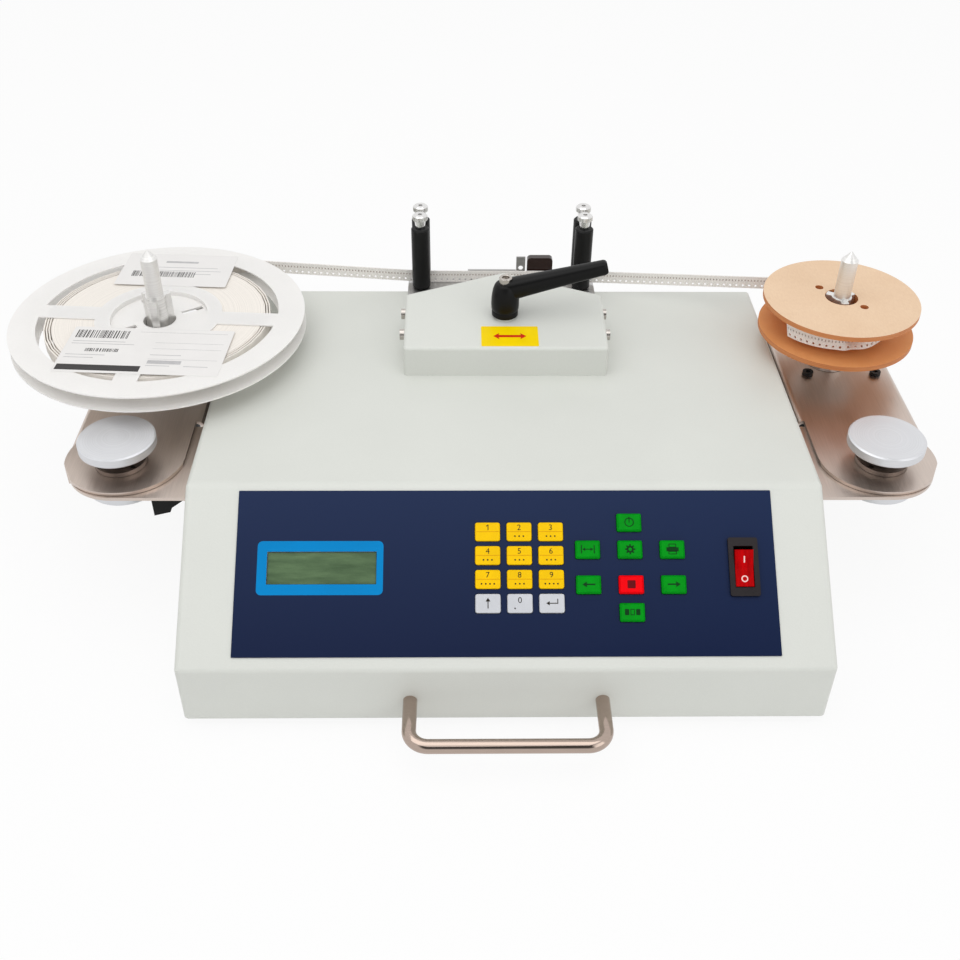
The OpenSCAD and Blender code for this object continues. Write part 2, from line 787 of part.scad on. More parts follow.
module head_cover() {
    color("whitesmoke") on_head() difference() {
        union() {
            hull() {
                for (p = head_plan(head_r)) {
                    translate([p[0], p[1], top_z]) cylinder(r = head_r, h = 2, $fn = 24);
                    translate([p[0], p[1], head_roof(p[1]) - head_r]) sphere(head_r, $fn = 24);
                }
            }
            // level seat under the lever
            translate([0, lever_y, head_top]) cylinder(d = lever_d - 4, h = lever_z - head_top - tray_gap);
        }
        // hollow under the roof
        translate([0, 0, top_z - 1]) linear_extrude(head_h - head_wall + 1)
            polygon(head_plan(head_wall));
        // way out for the shelf
        translate([-tab_x - tray_gap, head_y + head_side - 12, top_z - 1])
            cube([2 * (tab_x + tray_gap), head_len, shelf_t + 1 + tray_gap]);
        translate([0, lever_y, top_z]) cylinder(d = stud_d + 2 * stud_gap, h = 60);
        translate([-head_off, 0, 0])
            at_screws(cover = false, brackets = false, handle = false) screw_hole();
    }
}

module clamp_lever() {
    arm_d = [12.8, 8.6];
    r = lever_d / 2;
    h = lever_h;
    color("black") on_head() difference() {
        translate([0, lever_y, lever_z]) {
            rotate_extrude() polygon([
                [0, 0], [r - 1, 0], [r - 1, h * 0.17], [r - 0.2, h * 0.22], [r, h * 0.4], [r - 0.3, h * 0.62],
                [r - 1.1, h * 0.82], [r - 1.9, h * 0.93], [r - 3.1, h], [0, h]
            ]);
            translate([0, 0, lever_h * 0.78]) rotate([0, 90 - lever_rise, 3]) {
                cylinder(d1 = arm_d[0], d2 = arm_d[1], h = lever_l - 1.6);
                translate([0, 0, lever_l - 1.6 - eps]) cylinder(d1 = arm_d[1], d2 = arm_d[1] - 2.4, h = 1.6);
            }
            // screw head and stud that turn with the lever
            translate([0, 0, lever_h - 1]) cylinder(d = 7.8, h = 5);
            translate([0, 0, top_z - sheet - 6 - lever_z])
                cylinder(d = stud_d, h = lever_z - top_z + sheet + 7);
        }
        translate([0, lever_y, lever_z + lever_h + 2]) cylinder(d = 4.6, h = 3, $fn = 6);
    }
}

// knurled outline
module knurl(d, n) {
    polygon([for (i = [0:2 * n - 1]) polar(d / 2 - (i % 2) * 0.45, i * 180 / n)]);
}

module thumb_screw(base) {
    top = roller_z + roller_l + roller_gap;
    head = top + thumb_neck;
    difference() {
        union() {
            translate([0, 0, base]) cylinder(d = axle_d, h = top - base + 2);
            translate([0, 0, top]) cylinder(d1 = axle_d + 1, d2 = axle_d + 2.4, h = thumb_neck + eps);
            translate([0, 0, head]) linear_extrude(thumb_t - rim) knurl(thumb_d, 20);
            translate([0, 0, head + thumb_t - rim - eps])
                cylinder(d1 = thumb_d - 0.6, d2 = thumb_d - 0.6 - 2 * rim, h = rim);
        }
        translate([0, 0, head + thumb_t / 2]) cylinder(d = thumb_hole, h = thumb_t);
    }
}

module front_thumb_screws() {
    color("lightgray")
        on_head() for (s = [-1, 1]) translate([s * roller_x, front_roller_y, 0]) thumb_screw(top_z);
}

module rear_thumb_screws() {
    color("lightgray")
        on_head() for (s = [-1, 1])
            translate([s * roller_x, rear_roller_y, 0]) thumb_screw(top_z + groove_gap);
}

module roller(s, y) {
    r = roller_d / 2;
    c = 0.8;
    color("black") on_head() translate([s * roller_x, y, roller_z]) difference() {
        rotate_extrude() polygon([
            [0, 0], [r - c, 0], [r, c], [r, roller_l - c], [r - c, roller_l], [0, roller_l]
        ]);
        translate([0, 0, -1]) cylinder(d = axle_d + 2 * shaft_gap, h = roller_l + 2);
    }
}

module roller_front_left() roller(-1, front_roller_y);
module roller_front_right() roller(1, front_roller_y);
module roller_rear_left() roller(-1, rear_roller_y);
module roller_rear_right() roller(1, rear_roller_y);

// carriage that slides to the rear: tongue under the shelf, cross bar and guide wall
module rear_guide() {
    wide = 2 * roller_x + roller_d + 6;
    slot_w = stud_d + 2 * stud_gap;
    color("slategray") on_head() difference() {
        union() {
            translate([-tongue_w / 2, lever_y - guide_travel - slot_w, top_z + groove_gap])
                cube([tongue_w, bar_y + 2 - lever_y + guide_travel + slot_w, tongue_t]);
            translate([-wide / 2, bar_y, top_z + groove_gap])
                cube([wide, bar_depth, bar_z - top_z - groove_gap]);
            translate([-wall_end, wall_y, bar_z - eps]) cube([wall_l, bar_y + 5 - wall_y, 1.5]);
            translate([-wall_end, wall_y, bar_z - eps]) cube([wall_l, 1.5, tape_w - 0.2]);
        }
        translate([-slot_w / 2, lever_y - guide_travel, top_z - 1])
            cube([slot_w, guide_travel, 3]);
        for (y = [lever_y - guide_travel, lever_y])
            translate([0, y, top_z - 1]) cylinder(d = slot_w, h = 3);
        for (s = [-1, 1])
            translate([s * roller_x, rear_roller_y, top_z - 1])
                cylinder(d = axle_d + 2 * shaft_gap, h = bar_z - top_z + 2);
    }
}

// counting sensor: silver bracket with a hole, and an upright dark window on the same foot
module sensor_holder() {
    foot_x = wall_l - wall_end + 0.2;
    plate_w = 6;
    window_x = foot_x + plate_w + 1.2;
    foot_t = 1.2;
    color("saddlebrown") on_head() translate([0, wall_y, bar_z]) {
        difference() {
            translate([foot_x, 0, 0]) cube([plate_w, foot_t, sensor_h]);
            translate([foot_x + plate_w / 2, -1, tape_w + 1.5]) rotate([-90, 0, 0]) cylinder(d = 3.2, h = 4);
        }
        translate([foot_x, 0, 0]) cube([window_x - foot_x + sensor_w, 9, foot_t]);
        translate([window_x + sensor_w / 2, 5, (sensor_h - 1) / 2 + foot_t / 2]) rotate([90, 0, 0])
            linear_extrude(4.6) round_rect(sensor_w, sensor_h - 1 - foot_t + 2 * eps, 2.5);
    }
}

module bracket() {
    z0 = bracket_z - bracket_flange;
    color("lightsteelblue") difference() {
        union() {
            translate([pivot_x, pivot_y, bracket_z - bracket_sheet])
                cylinder(r = bracket_r, h = bracket_sheet);
            intersection() {
                translate([0, pivot_y + bracket_back, bracket_z]) rotate([90, 0, 0])
                    linear_extrude(bracket_back + bracket_r) difference() {
                        translate([case_w / 2 + pivot_x, 0]) bend_profile(2 * pivot_x, bracket_flange, 4);
                        translate([case_w / 2 + bracket_sheet + pivot_x, -bracket_sheet])
                            bend_profile(2 * pivot_x, bracket_flange, 2);
                    }
                translate([case_w / 2, pivot_y - bracket_r, z0])
                    cube([pivot_out - 12, bracket_r + bracket_back, bracket_flange]);
            }
            translate([case_w / 2 + 8, pivot_y - bracket_r, bracket_z - bracket_sheet])
                cube([pivot_out - 8, 2 * bracket_r - 6, bracket_sheet]);
        }
        translate([pivot_x, pivot_y, z0]) cylinder(d = post_d + 2 * screw_gap, h = bracket_flange + 2);
        at_screws(cover = false, head = false, handle = false) screw_hole();
    }
}

module right_bracket() bracket();
module left_bracket() side(-1) bracket();

// one half of the arm's section: plate to the bend, and the flange below it
module half_channel(w, r) {
    intersection() {
        difference() {
            bend_profile(2 * w, arm_sheet + arm_flange, r);
            translate([0, -arm_sheet]) bend_profile(2 * (w - arm_sheet), arm_flange + 1, r - arm_sheet);
        }
        translate([-1, -arm_sheet - arm_flange]) square([w + 1, arm_sheet + arm_flange]);
    }
}

// fixed posts that the arms turn on, each with a disc under its bracket
module pivot_posts() {
    low = bracket_z - bracket_sheet;
    color("gainsboro")
        for (s = [-1, 1]) translate([s * pivot_x, pivot_y, 0]) {
            translate([0, 0, low - 10]) cylinder(d = knob_d, h = 7.5);
            translate([0, 0, low - 2.5 - eps]) cylinder(d = neck_d, h = 2.5 + eps);
            translate([0, 0, low - 5]) cylinder(d = post_d, h = arm_z + knob_neck + 5 - low);
        }
}

module arm() {
    wide = arm_w / 2;
    arc = wide - arm_front;
    flange_y = -0.7;
    step_y = bracket_back + 2.7;
    corner = [wide * cos(41), arc - wide * sin(41)];
    color("lightsteelblue") translate([pivot_x, pivot_y, arm_z]) difference() {
        union() {
            translate([0, 0, -arm_sheet]) linear_extrude(arm_sheet) {
                translate([0, arc]) circle(wide);
                translate([-arm_in, arc]) circle(wide);
                translate([-arm_in, arc - wide]) square([arm_in, wide]);
                translate([-wide - arm_in, arc]) square([wide, step_y + 1 - arc]);
            }
            translate([0, arm_back, 0]) rotate([90, 0, 0])
                linear_extrude(arm_back - flange_y) half_channel(wide, arm_bend);
            mirror([1, 0, 0]) translate([0, arm_back, 0]) rotate([90, 0, 0])
                linear_extrude(arm_back - step_y) half_channel(wide + arm_in + arm_step, arm_bend + 1.5);
        }
        // the outer front corner is cut straight
        translate([0, 0, -arm_sheet - 1]) linear_extrude(arm_sheet + 2)
            polygon([[wide, flange_y], corner, [wide + 2, corner[1]], [wide + 2, flange_y]]);
        translate([0, 0, -20]) cylinder(d = post_d + 2 * shaft_gap, h = 30);
        translate([-spindle_in, spindle_back, -20]) cylinder(d = shaft_d + 2 * shaft_gap, h = 30);
        for (x = [-1, 1], y = [-1, 1])
            translate([x * motor_screw[0], spindle_back + y * motor_screw[1], -20])
                cylinder(d = screw_d + 2 * screw_gap, h = 30);
    }
}

module right_arm() arm();
module left_arm() side(-1) arm();

// geared motor under the arm's middle, with its screws and a shaft bore to one side
module motor() {
    color("black") translate([pivot_x, spin_y, arm_z - arm_sheet]) {
        difference() {
            union() {
                translate([-motor_w / 2, -motor_l / 2, -motor_h]) cube([motor_w, motor_l, motor_h]);
                translate([0, 0, -motor_h - motor_can_l]) cylinder(d = motor_can_d, h = motor_can_l + 1);
            }
            translate([-spindle_in, 0, -10.5]) cylinder(d = shaft_d + 2 * shaft_gap, h = 12);
            for (x = [-1, 1], y = [-1, 1])
                translate([x * motor_screw[0], y * motor_screw[1], -8])
                    cylinder(d = screw_d + 2 * screw_gap, h = 10);
        }
        for (x = [-1, 1], y = [-1, 1])
            translate([x * motor_screw[0], y * motor_screw[1], 0]) difference() {
                union() {
                    translate([0, 0, -7]) cylinder(d = screw_d, h = 7 + arm_sheet + 1);
                    translate([0, 0, arm_sheet]) cylinder(d = screw_head_d, h = 2.2);
                }
                translate([0, 0, arm_sheet + 1]) cylinder(d = 3, h = 3, $fn = 6);
            }
    }
}

module right_motor() motor();
module left_motor() side(-1) motor();

// clamping knob: ribbed neck on a flange with four small holes, under a slim disc
module knob() {
    flange_t = 2.8;
    flange_out = 5.5;
    r = knob_d / 2;
    color("gainsboro") translate([pivot_x, pivot_y, arm_z + arm_gap]) difference() {
        union() {
            cylinder(d = neck_d + 2 * flange_out, h = flange_t);
            cylinder(d = neck_d, h = flange_t + knob_neck + 1);
            for (i = [0:2])
                translate([0, 0, flange_t + 1 + i * knob_neck / 3])
                    cylinder(d = neck_d + 2, h = knob_neck / 6);
            translate([0, 0, flange_t + knob_neck]) rotate_extrude()
                polygon([[0, 0], [r - 1.2, 0], [r, 1.2], [r, knob_t - 0.8], [r - 0.8, knob_t], [0, knob_t]]);
        }
        translate([0, 0, -1]) cylinder(d = post_d + 2 * shaft_gap, h = flange_t + knob_neck + 1.5);
        for (i = [0:3]) rotate([0, 0, 45 + 90 * i])
            translate([neck_d / 2 + flange_out / 2 + 0.4, 0, -1]) cylinder(d = 3, h = flange_t + 2);
    }
}

module right_knob() knob();
module left_knob() side(-1) knob();

// reel spindle: seat, three fins, rod and cone tip
module spindle() {
    color("silver") translate([spin_x, spin_y, arm_z]) {
        translate([0, 0, -arm_sheet - 10]) cylinder(d = shaft_d, h = arm_sheet + 10 + seat_h);
        translate([0, 0, seat_h - eps]) cylinder(d = fin_core, h = fin_h);
        translate([0, 0, seat_h + fin_h - 2 * eps]) cylinder(d = rod_d, h = rod_h + eps);
        translate([0, 0, arm_gap]) cylinder(d = hub_d, h = seat_h - arm_gap);
        translate([0, 0, seat_h - seat_t]) cylinder(d = seat_d, h = seat_t);
        intersection() {
            translate([0, 0, seat_h - eps]) cylinder(d = fin_d, h = fin_h);
            for (i = [0:2]) rotate([0, 0, 120 * i - 90])
                translate([0, -2.2, seat_h - eps]) cube([fin_d, 4.4, fin_h]);
        }
        translate([0, 0, seat_h + fin_h + rod_h - eps]) cylinder(d1 = rod_d, d2 = 0.6, h = tip_h);
    }
}

module right_spindle() spindle();
module left_spindle() side(-1) spindle();

// white supply reel: two windowed flanges on a hub, with a slotted web on a collar that stands on the seat
module left_reel() {
    hub_r = supply_hub / 2;
    window_in = hub_r + 9;
    window_out = supply_d / 2 - 16;
    web_t = 1.2;
    collar_in = reel_hole + 2;
    collar_out = reel_hole + 8;
    color("white") translate([supply_c[0], supply_c[1], seat_z]) {
        for (z = [0, supply_t + supply_gap])
            translate([0, 0, z]) linear_extrude(supply_t) difference() {
                circle(d = supply_d);
                for (i = [0:3]) rotate([0, 0, 90 * i - 4]) intersection() {
                    difference() {
                        circle(window_out);
                        circle(window_in);
                    }
                    translate([spoke_w / 2, spoke_w / 2]) square(supply_d);
                }
                circle(r = hub_r);
            }
        linear_extrude(supply_t + supply_gap + eps) difference() {
            circle(hub_r + 1);
            circle(hub_r);
        }
        translate([0, 0, web_h - web_t]) linear_extrude(web_t) difference() {
            circle(hub_r + 0.5);
            circle(d = reel_hole);
            for (i = [0:3]) rotate([0, 0, 90 * i + 32])
                translate([collar_out / 2 + 0.8, -1.7]) square([hub_r - 2 - collar_out / 2, 3.4]);
        }
        linear_extrude(web_h - web_t + eps) difference() {
            circle(d = collar_out);
            circle(d = collar_in);
        }
    }
}

// flat strip of the tape's thickness along a line of plan points
module strip(pts, z) {
    n = len(pts) - 1;
    dirs = [for (i = [0:n]) let (d = pts[min(i + 1, n)] - pts[max(i - 1, 0)]) d / norm(d)];
    half = tape_t / 2;
    near = [for (i = [0:n]) pts[i] + half * [-dirs[i][1], dirs[i][0]]];
    far = [for (i = [n:-1:0]) pts[i] - half * [-dirs[i][1], dirs[i][0]]];
    translate([0, 0, z - tape_w / 2]) linear_extrude(tape_w) polygon(concat(near, far));
}

// outer turns of the supply winding, ending in the straight run to the reel's rim
steps = 36;
wind_n = pack_turns * steps;
wind_pts = concat(
    [for (i = [0:wind_n])
        polar(wind_start + pack_pitch * i / steps, left_a + 90 + 360 * (wind_n - i) / steps)],
    [polar(wind_end, left_a + 90) + polar(sqrt(pow(supply_d / 2 - rim_gap, 2) - wind_end * wind_end), left_a)]
);
// loose end on the take-up reel, from the rim round the core to the front
loose_n = 40;
loose_turn = 226;
loose_pts = concat(
    [polar(catch_r, right_a + 90) - polar(sqrt(pow(takeup_d / 2 - rim_gap, 2) - catch_r * catch_r), right_a)],
    [for (i = [0:loose_n])
        let (t = i / loose_n)
            polar(catch_r + (loose_r - catch_r) * pow(t, 1.6), right_a + 90 - loose_turn * t)]
);
// least clear distance between parts of a strip that are more than half a turn apart
function self_gap(pts, apart) = min([
    for (i = [0:len(pts) - 1], j = [0:len(pts) - 1])
        if (j - i > apart) norm(pts[i] - pts[j]) - tape_t
]);
echo(supply_winding_gap = self_gap(wind_pts, steps / 2));
echo(takeup_end_gap = self_gap(loose_pts, loose_n / 2));

module left_tape() {
    color("antiquewhite") translate([supply_c[0], supply_c[1], 0]) {
        translate([0, 0, supply_tape_z - tape_w / 2]) difference() {
            cylinder(r = pack_r, h = tape_w);
            translate([0, 0, -1]) cylinder(r = supply_hub / 2 + 1 + 0.3, h = tape_w + 2);
        }
        strip(wind_pts, supply_tape_z);
    }
}

// pressboard take-up reel
module right_reel() {
    color("burlywood") translate([takeup_c[0], takeup_c[1], seat_z]) difference() {
        union() {
            cylinder(d = takeup_d, h = takeup_t);
            translate([0, 0, takeup_t - eps]) cylinder(d = takeup_core, h = takeup_gap + 2 * eps);
            translate([0, 0, takeup_t + takeup_gap]) cylinder(d = takeup_d, h = takeup_t);
        }
        translate([0, 0, -1]) cylinder(d = reel_hole, h = 2 * takeup_t + takeup_gap + 2);
        for (s = [-1, 1]) rotate([0, 0, 132]) translate([s * 16, 0, takeup_t + takeup_gap - 4])
            cylinder(d = 5, h = takeup_t + 6);
    }
}

module right_tape() {
    color("antiquewhite") translate([takeup_c[0], takeup_c[1], 0]) strip(loose_pts, takeup_tape_z);
}

// tape between the reels: points where it meets each rim and each roller pair
left_run = line_length(left_bend, supply_c, wind_end)
    - sqrt(pow(supply_d / 2 + rim_gap, 2) - wind_end * wind_end);
right_run = line_length(right_bend, takeup_c, catch_r)
    - sqrt(pow(takeup_d / 2 + rim_gap, 2) - catch_r * catch_r);
left_rim = left_bend + polar(left_run, left_a + 180);
right_rim = right_bend + polar(right_run, right_a);
span_pts = [
    [left_rim[0], left_rim[1], supply_tape_z],
    [left_bend[0], left_bend[1], tape_z],
    [right_bend[0], right_bend[1], tape_z],
    [right_rim[0], right_rim[1], takeup_tape_z]
];

module carrier_tape() {
    n = len(span_pts) - 1;
    flat = [for (p = span_pts) [p[0], p[1]]];
    dirs = [for (i = [0:n]) let (d = flat[min(i + 1, n)] - flat[max(i - 1, 0)]) d / norm(d)];
    corners = [for (i = [0:n], k = [[1, -1], [1, 1], [-1, 1], [-1, -1]])
        span_pts[i] + [-dirs[i][1] * k[0] * tape_t / 2, dirs[i][0] * k[0] * tape_t / 2, k[1] * tape_w / 2]];
    quads = [for (i = [0:n - 1], k = [0:3])
        let (a = 4 * i + k, b = 4 * i + (k + 1) % 4) [[a, a + 4, b + 4], [a, b + 4, b]]];
    color("antiquewhite") polyhedron(corners, concat(
        [[0, 1, 2], [0, 2, 3]],
        [for (q = quads, t = q) t],
        [[4 * n + 2, 4 * n + 1, 4 * n], [4 * n + 3, 4 * n + 2, 4 * n]]
    ));
}

// black guide for the arm's lead, under the left bracket
module cable_guide() {
    x0 = case_w / 2 + bracket_sheet + 2;
    top = bracket_z - bracket_sheet;
    y0 = pivot_y - 19.6;
    color("black") side(-1) {
        translate([0, y0 + 5, 0]) rotate([90, 0, 0]) linear_extrude(5) polygon([
            [x0 + 20, top], [x0 + 20, top - 18.5], [x0 + 10.7, top - 16], [x0 + 9.5, top - 13],
            [x0 + 3, top - 8], [x0, top - 6], [x0, top]
        ]);
        translate([x0, y0 + 5 - eps, top - 6]) cube([12, 20, 6]);
    }
}

base_tray();
top_cover();
front_overlay();
lcd_module();
control_board();
power_supply();
rubber_feet();
case_screws();
front_handle();
switch_housing();
power_rocker();
mains_inlet();
track_shelf();
head_cover();
clamp_lever();
front_thumb_screws();
rear_thumb_screws();
rear_guide();
sensor_holder();
roller_front_left();
roller_front_right();
roller_rear_left();
roller_rear_right();
left_bracket();
right_bracket();
pivot_posts();
cable_guide();
carrier_tape();
left_arm();
left_motor();
left_knob();
left_spindle();
left_reel();
left_tape();
right_arm();
right_motor();
right_knob();
right_spindle();
right_reel();
right_tape();
key_1();
key_2();
key_3();
key_4();
key_5();
key_6();
key_7();
key_8();
key_9();
key_up();
key_0();
key_enter();
fn_top();
fn_upper_left();
fn_upper_mid();
fn_upper_right();
fn_lower_left();
fn_stop();
fn_lower_right();
fn_bottom();
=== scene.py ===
import json
import math
import random

import bmesh
import bpy
from mathutils import Matrix, Vector


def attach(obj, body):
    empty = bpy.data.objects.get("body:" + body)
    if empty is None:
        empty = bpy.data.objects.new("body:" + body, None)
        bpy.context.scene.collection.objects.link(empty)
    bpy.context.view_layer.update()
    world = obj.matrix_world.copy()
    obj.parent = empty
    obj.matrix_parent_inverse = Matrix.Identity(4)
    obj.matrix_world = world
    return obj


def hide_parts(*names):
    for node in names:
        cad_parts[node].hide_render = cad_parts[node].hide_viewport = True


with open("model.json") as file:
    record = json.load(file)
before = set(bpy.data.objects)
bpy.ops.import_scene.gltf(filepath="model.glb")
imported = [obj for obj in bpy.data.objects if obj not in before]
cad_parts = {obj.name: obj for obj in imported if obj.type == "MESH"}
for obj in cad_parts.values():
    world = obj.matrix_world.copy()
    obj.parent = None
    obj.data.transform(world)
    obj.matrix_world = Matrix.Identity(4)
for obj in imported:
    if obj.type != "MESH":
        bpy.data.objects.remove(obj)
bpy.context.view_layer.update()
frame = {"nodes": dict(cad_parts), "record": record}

# Looks and fine shapes of the component reel counter, around its CAD frame.

MM = 0.001
NODES = frame["nodes"]
M = {}                                                # materials by name

# Sizes and places of the CAD solids that the new pieces stand on or replace, in millimetres.
FRONT_Y, FRONT_Z = -142.5, 42.4                       # lower edge of the sloped panel
SLOPE = math.atan2(57.8, 80.0)                        # its angle, in radians
OVERLAY_T = 0.6                                       # printed sheet on it
ROW_S = 53.3                                          # middle of the key field, up the slope
NUM_X, NUM_PITCH_X, NUM_PITCH_S = 6.8, 16.55, 12.65   # number keys: middle column, and pitches
FN_X, FN_PITCH_X = 64.8, 22.2                         # function keys: middle column, and pitch
FN_IN, FN_OUT = 9.3, 23.8                             # their rows, up and down from the middle
NUM_RISE, FN_RISE = 0.9, 1.8                          # heights of the keys over the sheet
SWITCH_X, ROCKER_N, ROCKER_TOP = 124.1, -2.5, 4.7     # rocker: its pin's level, and its middle over the pin
ROCKER_LEAN = math.radians(10.0)                      # its tilt at rest
ROCKER_FALL = math.atan2(1.2, 9.6)                    # of its two faces, towards the line between them
LCD_X, LCD_W, LCD_L = -96.2, 57.0, 17.3               # display window
SPIN_X, SPIN_Y = 207.0, 72.5                          # reel spindles, at -x and at +x
PIVOT_X, PIVOT_Y = 212.5, -29.9                       # arm pivots, likewise
SUPPLY_TOP, SUPPLY_R, TAKEUP_R = 123.2, 88.0, 46.5    # reels
HEAD_X, HEAD_Y, HEAD_TOP = 3.2, 41.2, 119.5           # front edge of the head's top
HEAD_TILT = math.atan2(5.0, 55.0)                     # its rise to the rear, in radians
LEVER_Y, LEVER_Z = 73.8, 123.436                      # clamp lever: its axis, and the foot of its hub
LEVER_H, LEVER_D = 21.6, 17.0                         # height and width of the hub
TAPE_Y, TAPE_Z = 150.2, 107.4                         # middle of the tape behind the head
TAPE_W, TAPE_T = 8.0, 0.8                             # its width and thickness
BEND_LEFT, BEND_RIGHT, BEND_R = -53.0, 54.0, 14.0     # where the tape turns, from the head's middle, and its radius
SUPPLY_TAPE_Z, TAKEUP_TAPE_Z = 118.2, 124.85          # middle of the tape inside each reel
WIND_END, CATCH_R, LOOSE_R = 67.7, 26.7, 39.5         # radii: supply winding, first turn taken up, cut end
RIM_GAP = 0.6                                         # from a reel's rim to the end of a strip
LOOSE_TURN, LOOSE_GROWTH = math.radians(226), 1.6     # loose end: its way round the core, and how it opens


# ---------------------------------------------------------------- shader nodes

NOISE_LOW, NOISE_HIGH = 0.3, 0.7                      # most of a noise lies between these
GRAIN_DEPTH, FINE_DEPTH, TURN_DEPTH = 0.0002, 0.0001, 0.0003    # of bumps, in metres


def linear(rgb):
    """Linear colour of an sRGB colour that is given from 0 to 255."""
    return tuple((c / 255 / 12.92 if c <= 10 else ((c / 255 + 0.055) / 1.055) ** 2.4) for c in rgb) + (1.0,)


def shade(rgb, factor):
    return linear([min(255, c * factor) for c in rgb])


def put(tree, socket, value):
    """Links a socket to another one, or sets its constant."""
    if isinstance(value, bpy.types.NodeSocket):
        tree.links.new(value, socket)
    else:
        socket.default_value = value


def node(tree, kind, props=None, **sockets):
    made = tree.nodes.new("ShaderNode" + kind)
    for key, value in (props or {}).items():
        setattr(made, key, value)
    for key, value in sockets.items():
        put(tree, made.inputs[key.replace("_", " ")], value)
    return made


def calc(tree, op, a, b=0.0):
    made = node(tree, "Math", {"operation": op})
    put(tree, made.inputs[0], a)
    put(tree, made.inputs[1], b)
    return made.outputs[0]


def mix(tree, factor, a, b):
    """Mix of two colours; the node's sockets for numbers and vectors come before these."""
    made = node(tree, "Mix", {"data_type": "RGBA"})
    for index, value in ((0, factor), (6, a), (7, b)):
        put(tree, made.inputs[index], value)
    return made.outputs[2]


def span(tree, value, low, high, to_low, to_high):
    """Value carried from one range to another, and held inside it."""
    return node(tree, "MapRange", Value=value, From_Min=low, From_Max=high, To_Min=to_low, To_Max=to_high).outputs[0]


def spread_over(tree, value, low, high):
    """Noise stretched to the given range."""
    return span(tree, value, NOISE_LOW, NOISE_HIGH, low, high)


def weighed(tree, a, b, share):
    """Sum of two noises, with the given share of the first."""
    return calc(tree, "ADD", calc(tree, "MULTIPLY", a, share), calc(tree, "MULTIPLY", b, 1 - share))


def tinted(tree, value, rgb, darker, paler):
    """Colour that a noise makes darker and paler by these factors."""
    return mix(tree, spread_over(tree, value, 0, 1), shade(rgb, darker), shade(rgb, paler))


def place(tree, scale=(1, 1, 1)):
    """Rest coordinates in metres, which move with the piece."""
    where = node(tree, "TexCoord").outputs["Object"]
    return node(tree, "Mapping", Vector=where, Scale=scale).outputs[0]


def height_of(tree):
    return node(tree, "SeparateXYZ", Vector=place(tree)).outputs[2]


def round_axis(tree, axis):
    """Distance from an upright axis that the mirror pieces at -x and +x share."""
    where = node(tree, "SeparateXYZ", Vector=place(tree)).outputs
    x = calc(tree, "SUBTRACT", calc(tree, "ABSOLUTE", where[0]), axis[0] * MM)
    y = calc(tree, "SUBTRACT", where[1], axis[1] * MM)
    return calc(tree, "SQRT", calc(tree, "ADD", calc(tree, "MULTIPLY", x, x), calc(tree, "MULTIPLY", y, y)))


def noise(tree, vector, scale, detail=2.0, rough=0.5):
    return node(tree, "TexNoise", Vector=vector, Scale=scale, Detail=detail, Roughness=rough).outputs[0]


def bump(tree, height, strength, distance):
    return node(tree, "Bump", Height=height, Strength=strength, Distance=distance).outputs[0]


def shader(name, rough, metal=0.0, **fixed):
    """New material in M, with its constants on the shader's own sockets."""
    M[name] = mat = bpy.data.materials.new(name)
    mat.use_nodes = True
    base = mat.node_tree.nodes["Principled BSDF"].inputs
    for key, value in dict(Roughness=rough, Metallic=metal, **fixed).items():
        base[key.replace("_", " ")].default_value = value
    return mat.node_tree, base


# ---------------------------------------------------------------- camera, light, floor

LENS, SENSOR = 43.86, 36.0
CAMERA_AT = Vector((-0.02358, -0.54679, 0.49095))
CAMERA_PITCH, CAMERA_YAW, CAMERA_ROLL = math.radians(38.70), math.radians(1.185), math.radians(0.692)
WORLD_FILL, WORLD_SEEN = 0.62, 1.0                    # strength for diffuse light, and where the world is seen
TENT_WAY = (0.0, -0.78, 0.626)                        # towards the opening of the light tent
TENT_EDGE, TENT_CORE, TENT_DIM = 38, 16, 0.9          # degrees from its middle, and how much it takes away
FLOOR_HALF, FLOOR_TONE, FLOOR_WHITE = 6.0, 0.9, 0.9   # half its width, its colour, share of white where it is seen
LAMPS = (                                             # name, place, target, side in metres, watts
    ("lamp_top", (-0.2, -0.22, 1.3), (0, 0.05, 0.1), 1.5, 8.0),
    ("lamp_front", (1.2, -1.2, 1.0), (0, 0, 0.08), 1.25, 4.3),
)


def make_camera():
    data = bpy.data.cameras.new("camera")
    data.lens, data.sensor_width = LENS, SENSOR
    data.clip_start, data.clip_end = 0.01, 50.0
    cam = bpy.data.objects.new("camera", data)
    bpy.context.scene.collection.objects.link(cam)
    level = math.cos(CAMERA_PITCH)
    forward = Vector((math.sin(CAMERA_YAW) * level, math.cos(CAMERA_YAW) * level, -math.sin(CAMERA_PITCH)))
    right = Vector((math.cos(CAMERA_YAW), -math.sin(CAMERA_YAW), 0.0))
    up = right.cross(forward)
    x = math.cos(CAMERA_ROLL) * right + math.sin(CAMERA_ROLL) * up
    y = math.cos(CAMERA_ROLL) * up - math.sin(CAMERA_ROLL) * right
    cam.matrix_world = Matrix.Translation(CAMERA_AT) @ Matrix((x, y, -forward)).transposed().to_4x4()
    bpy.context.scene.camera = cam


def seen_directly(tree):
    """1 for camera, glossy and transmission rays."""
    path = node(tree, "LightPath").outputs
    either = calc(tree, "MAXIMUM", path["Is Camera Ray"], path["Is Glossy Ray"])
    return calc(tree, "MAXIMUM", either, path["Is Transmission Ray"])


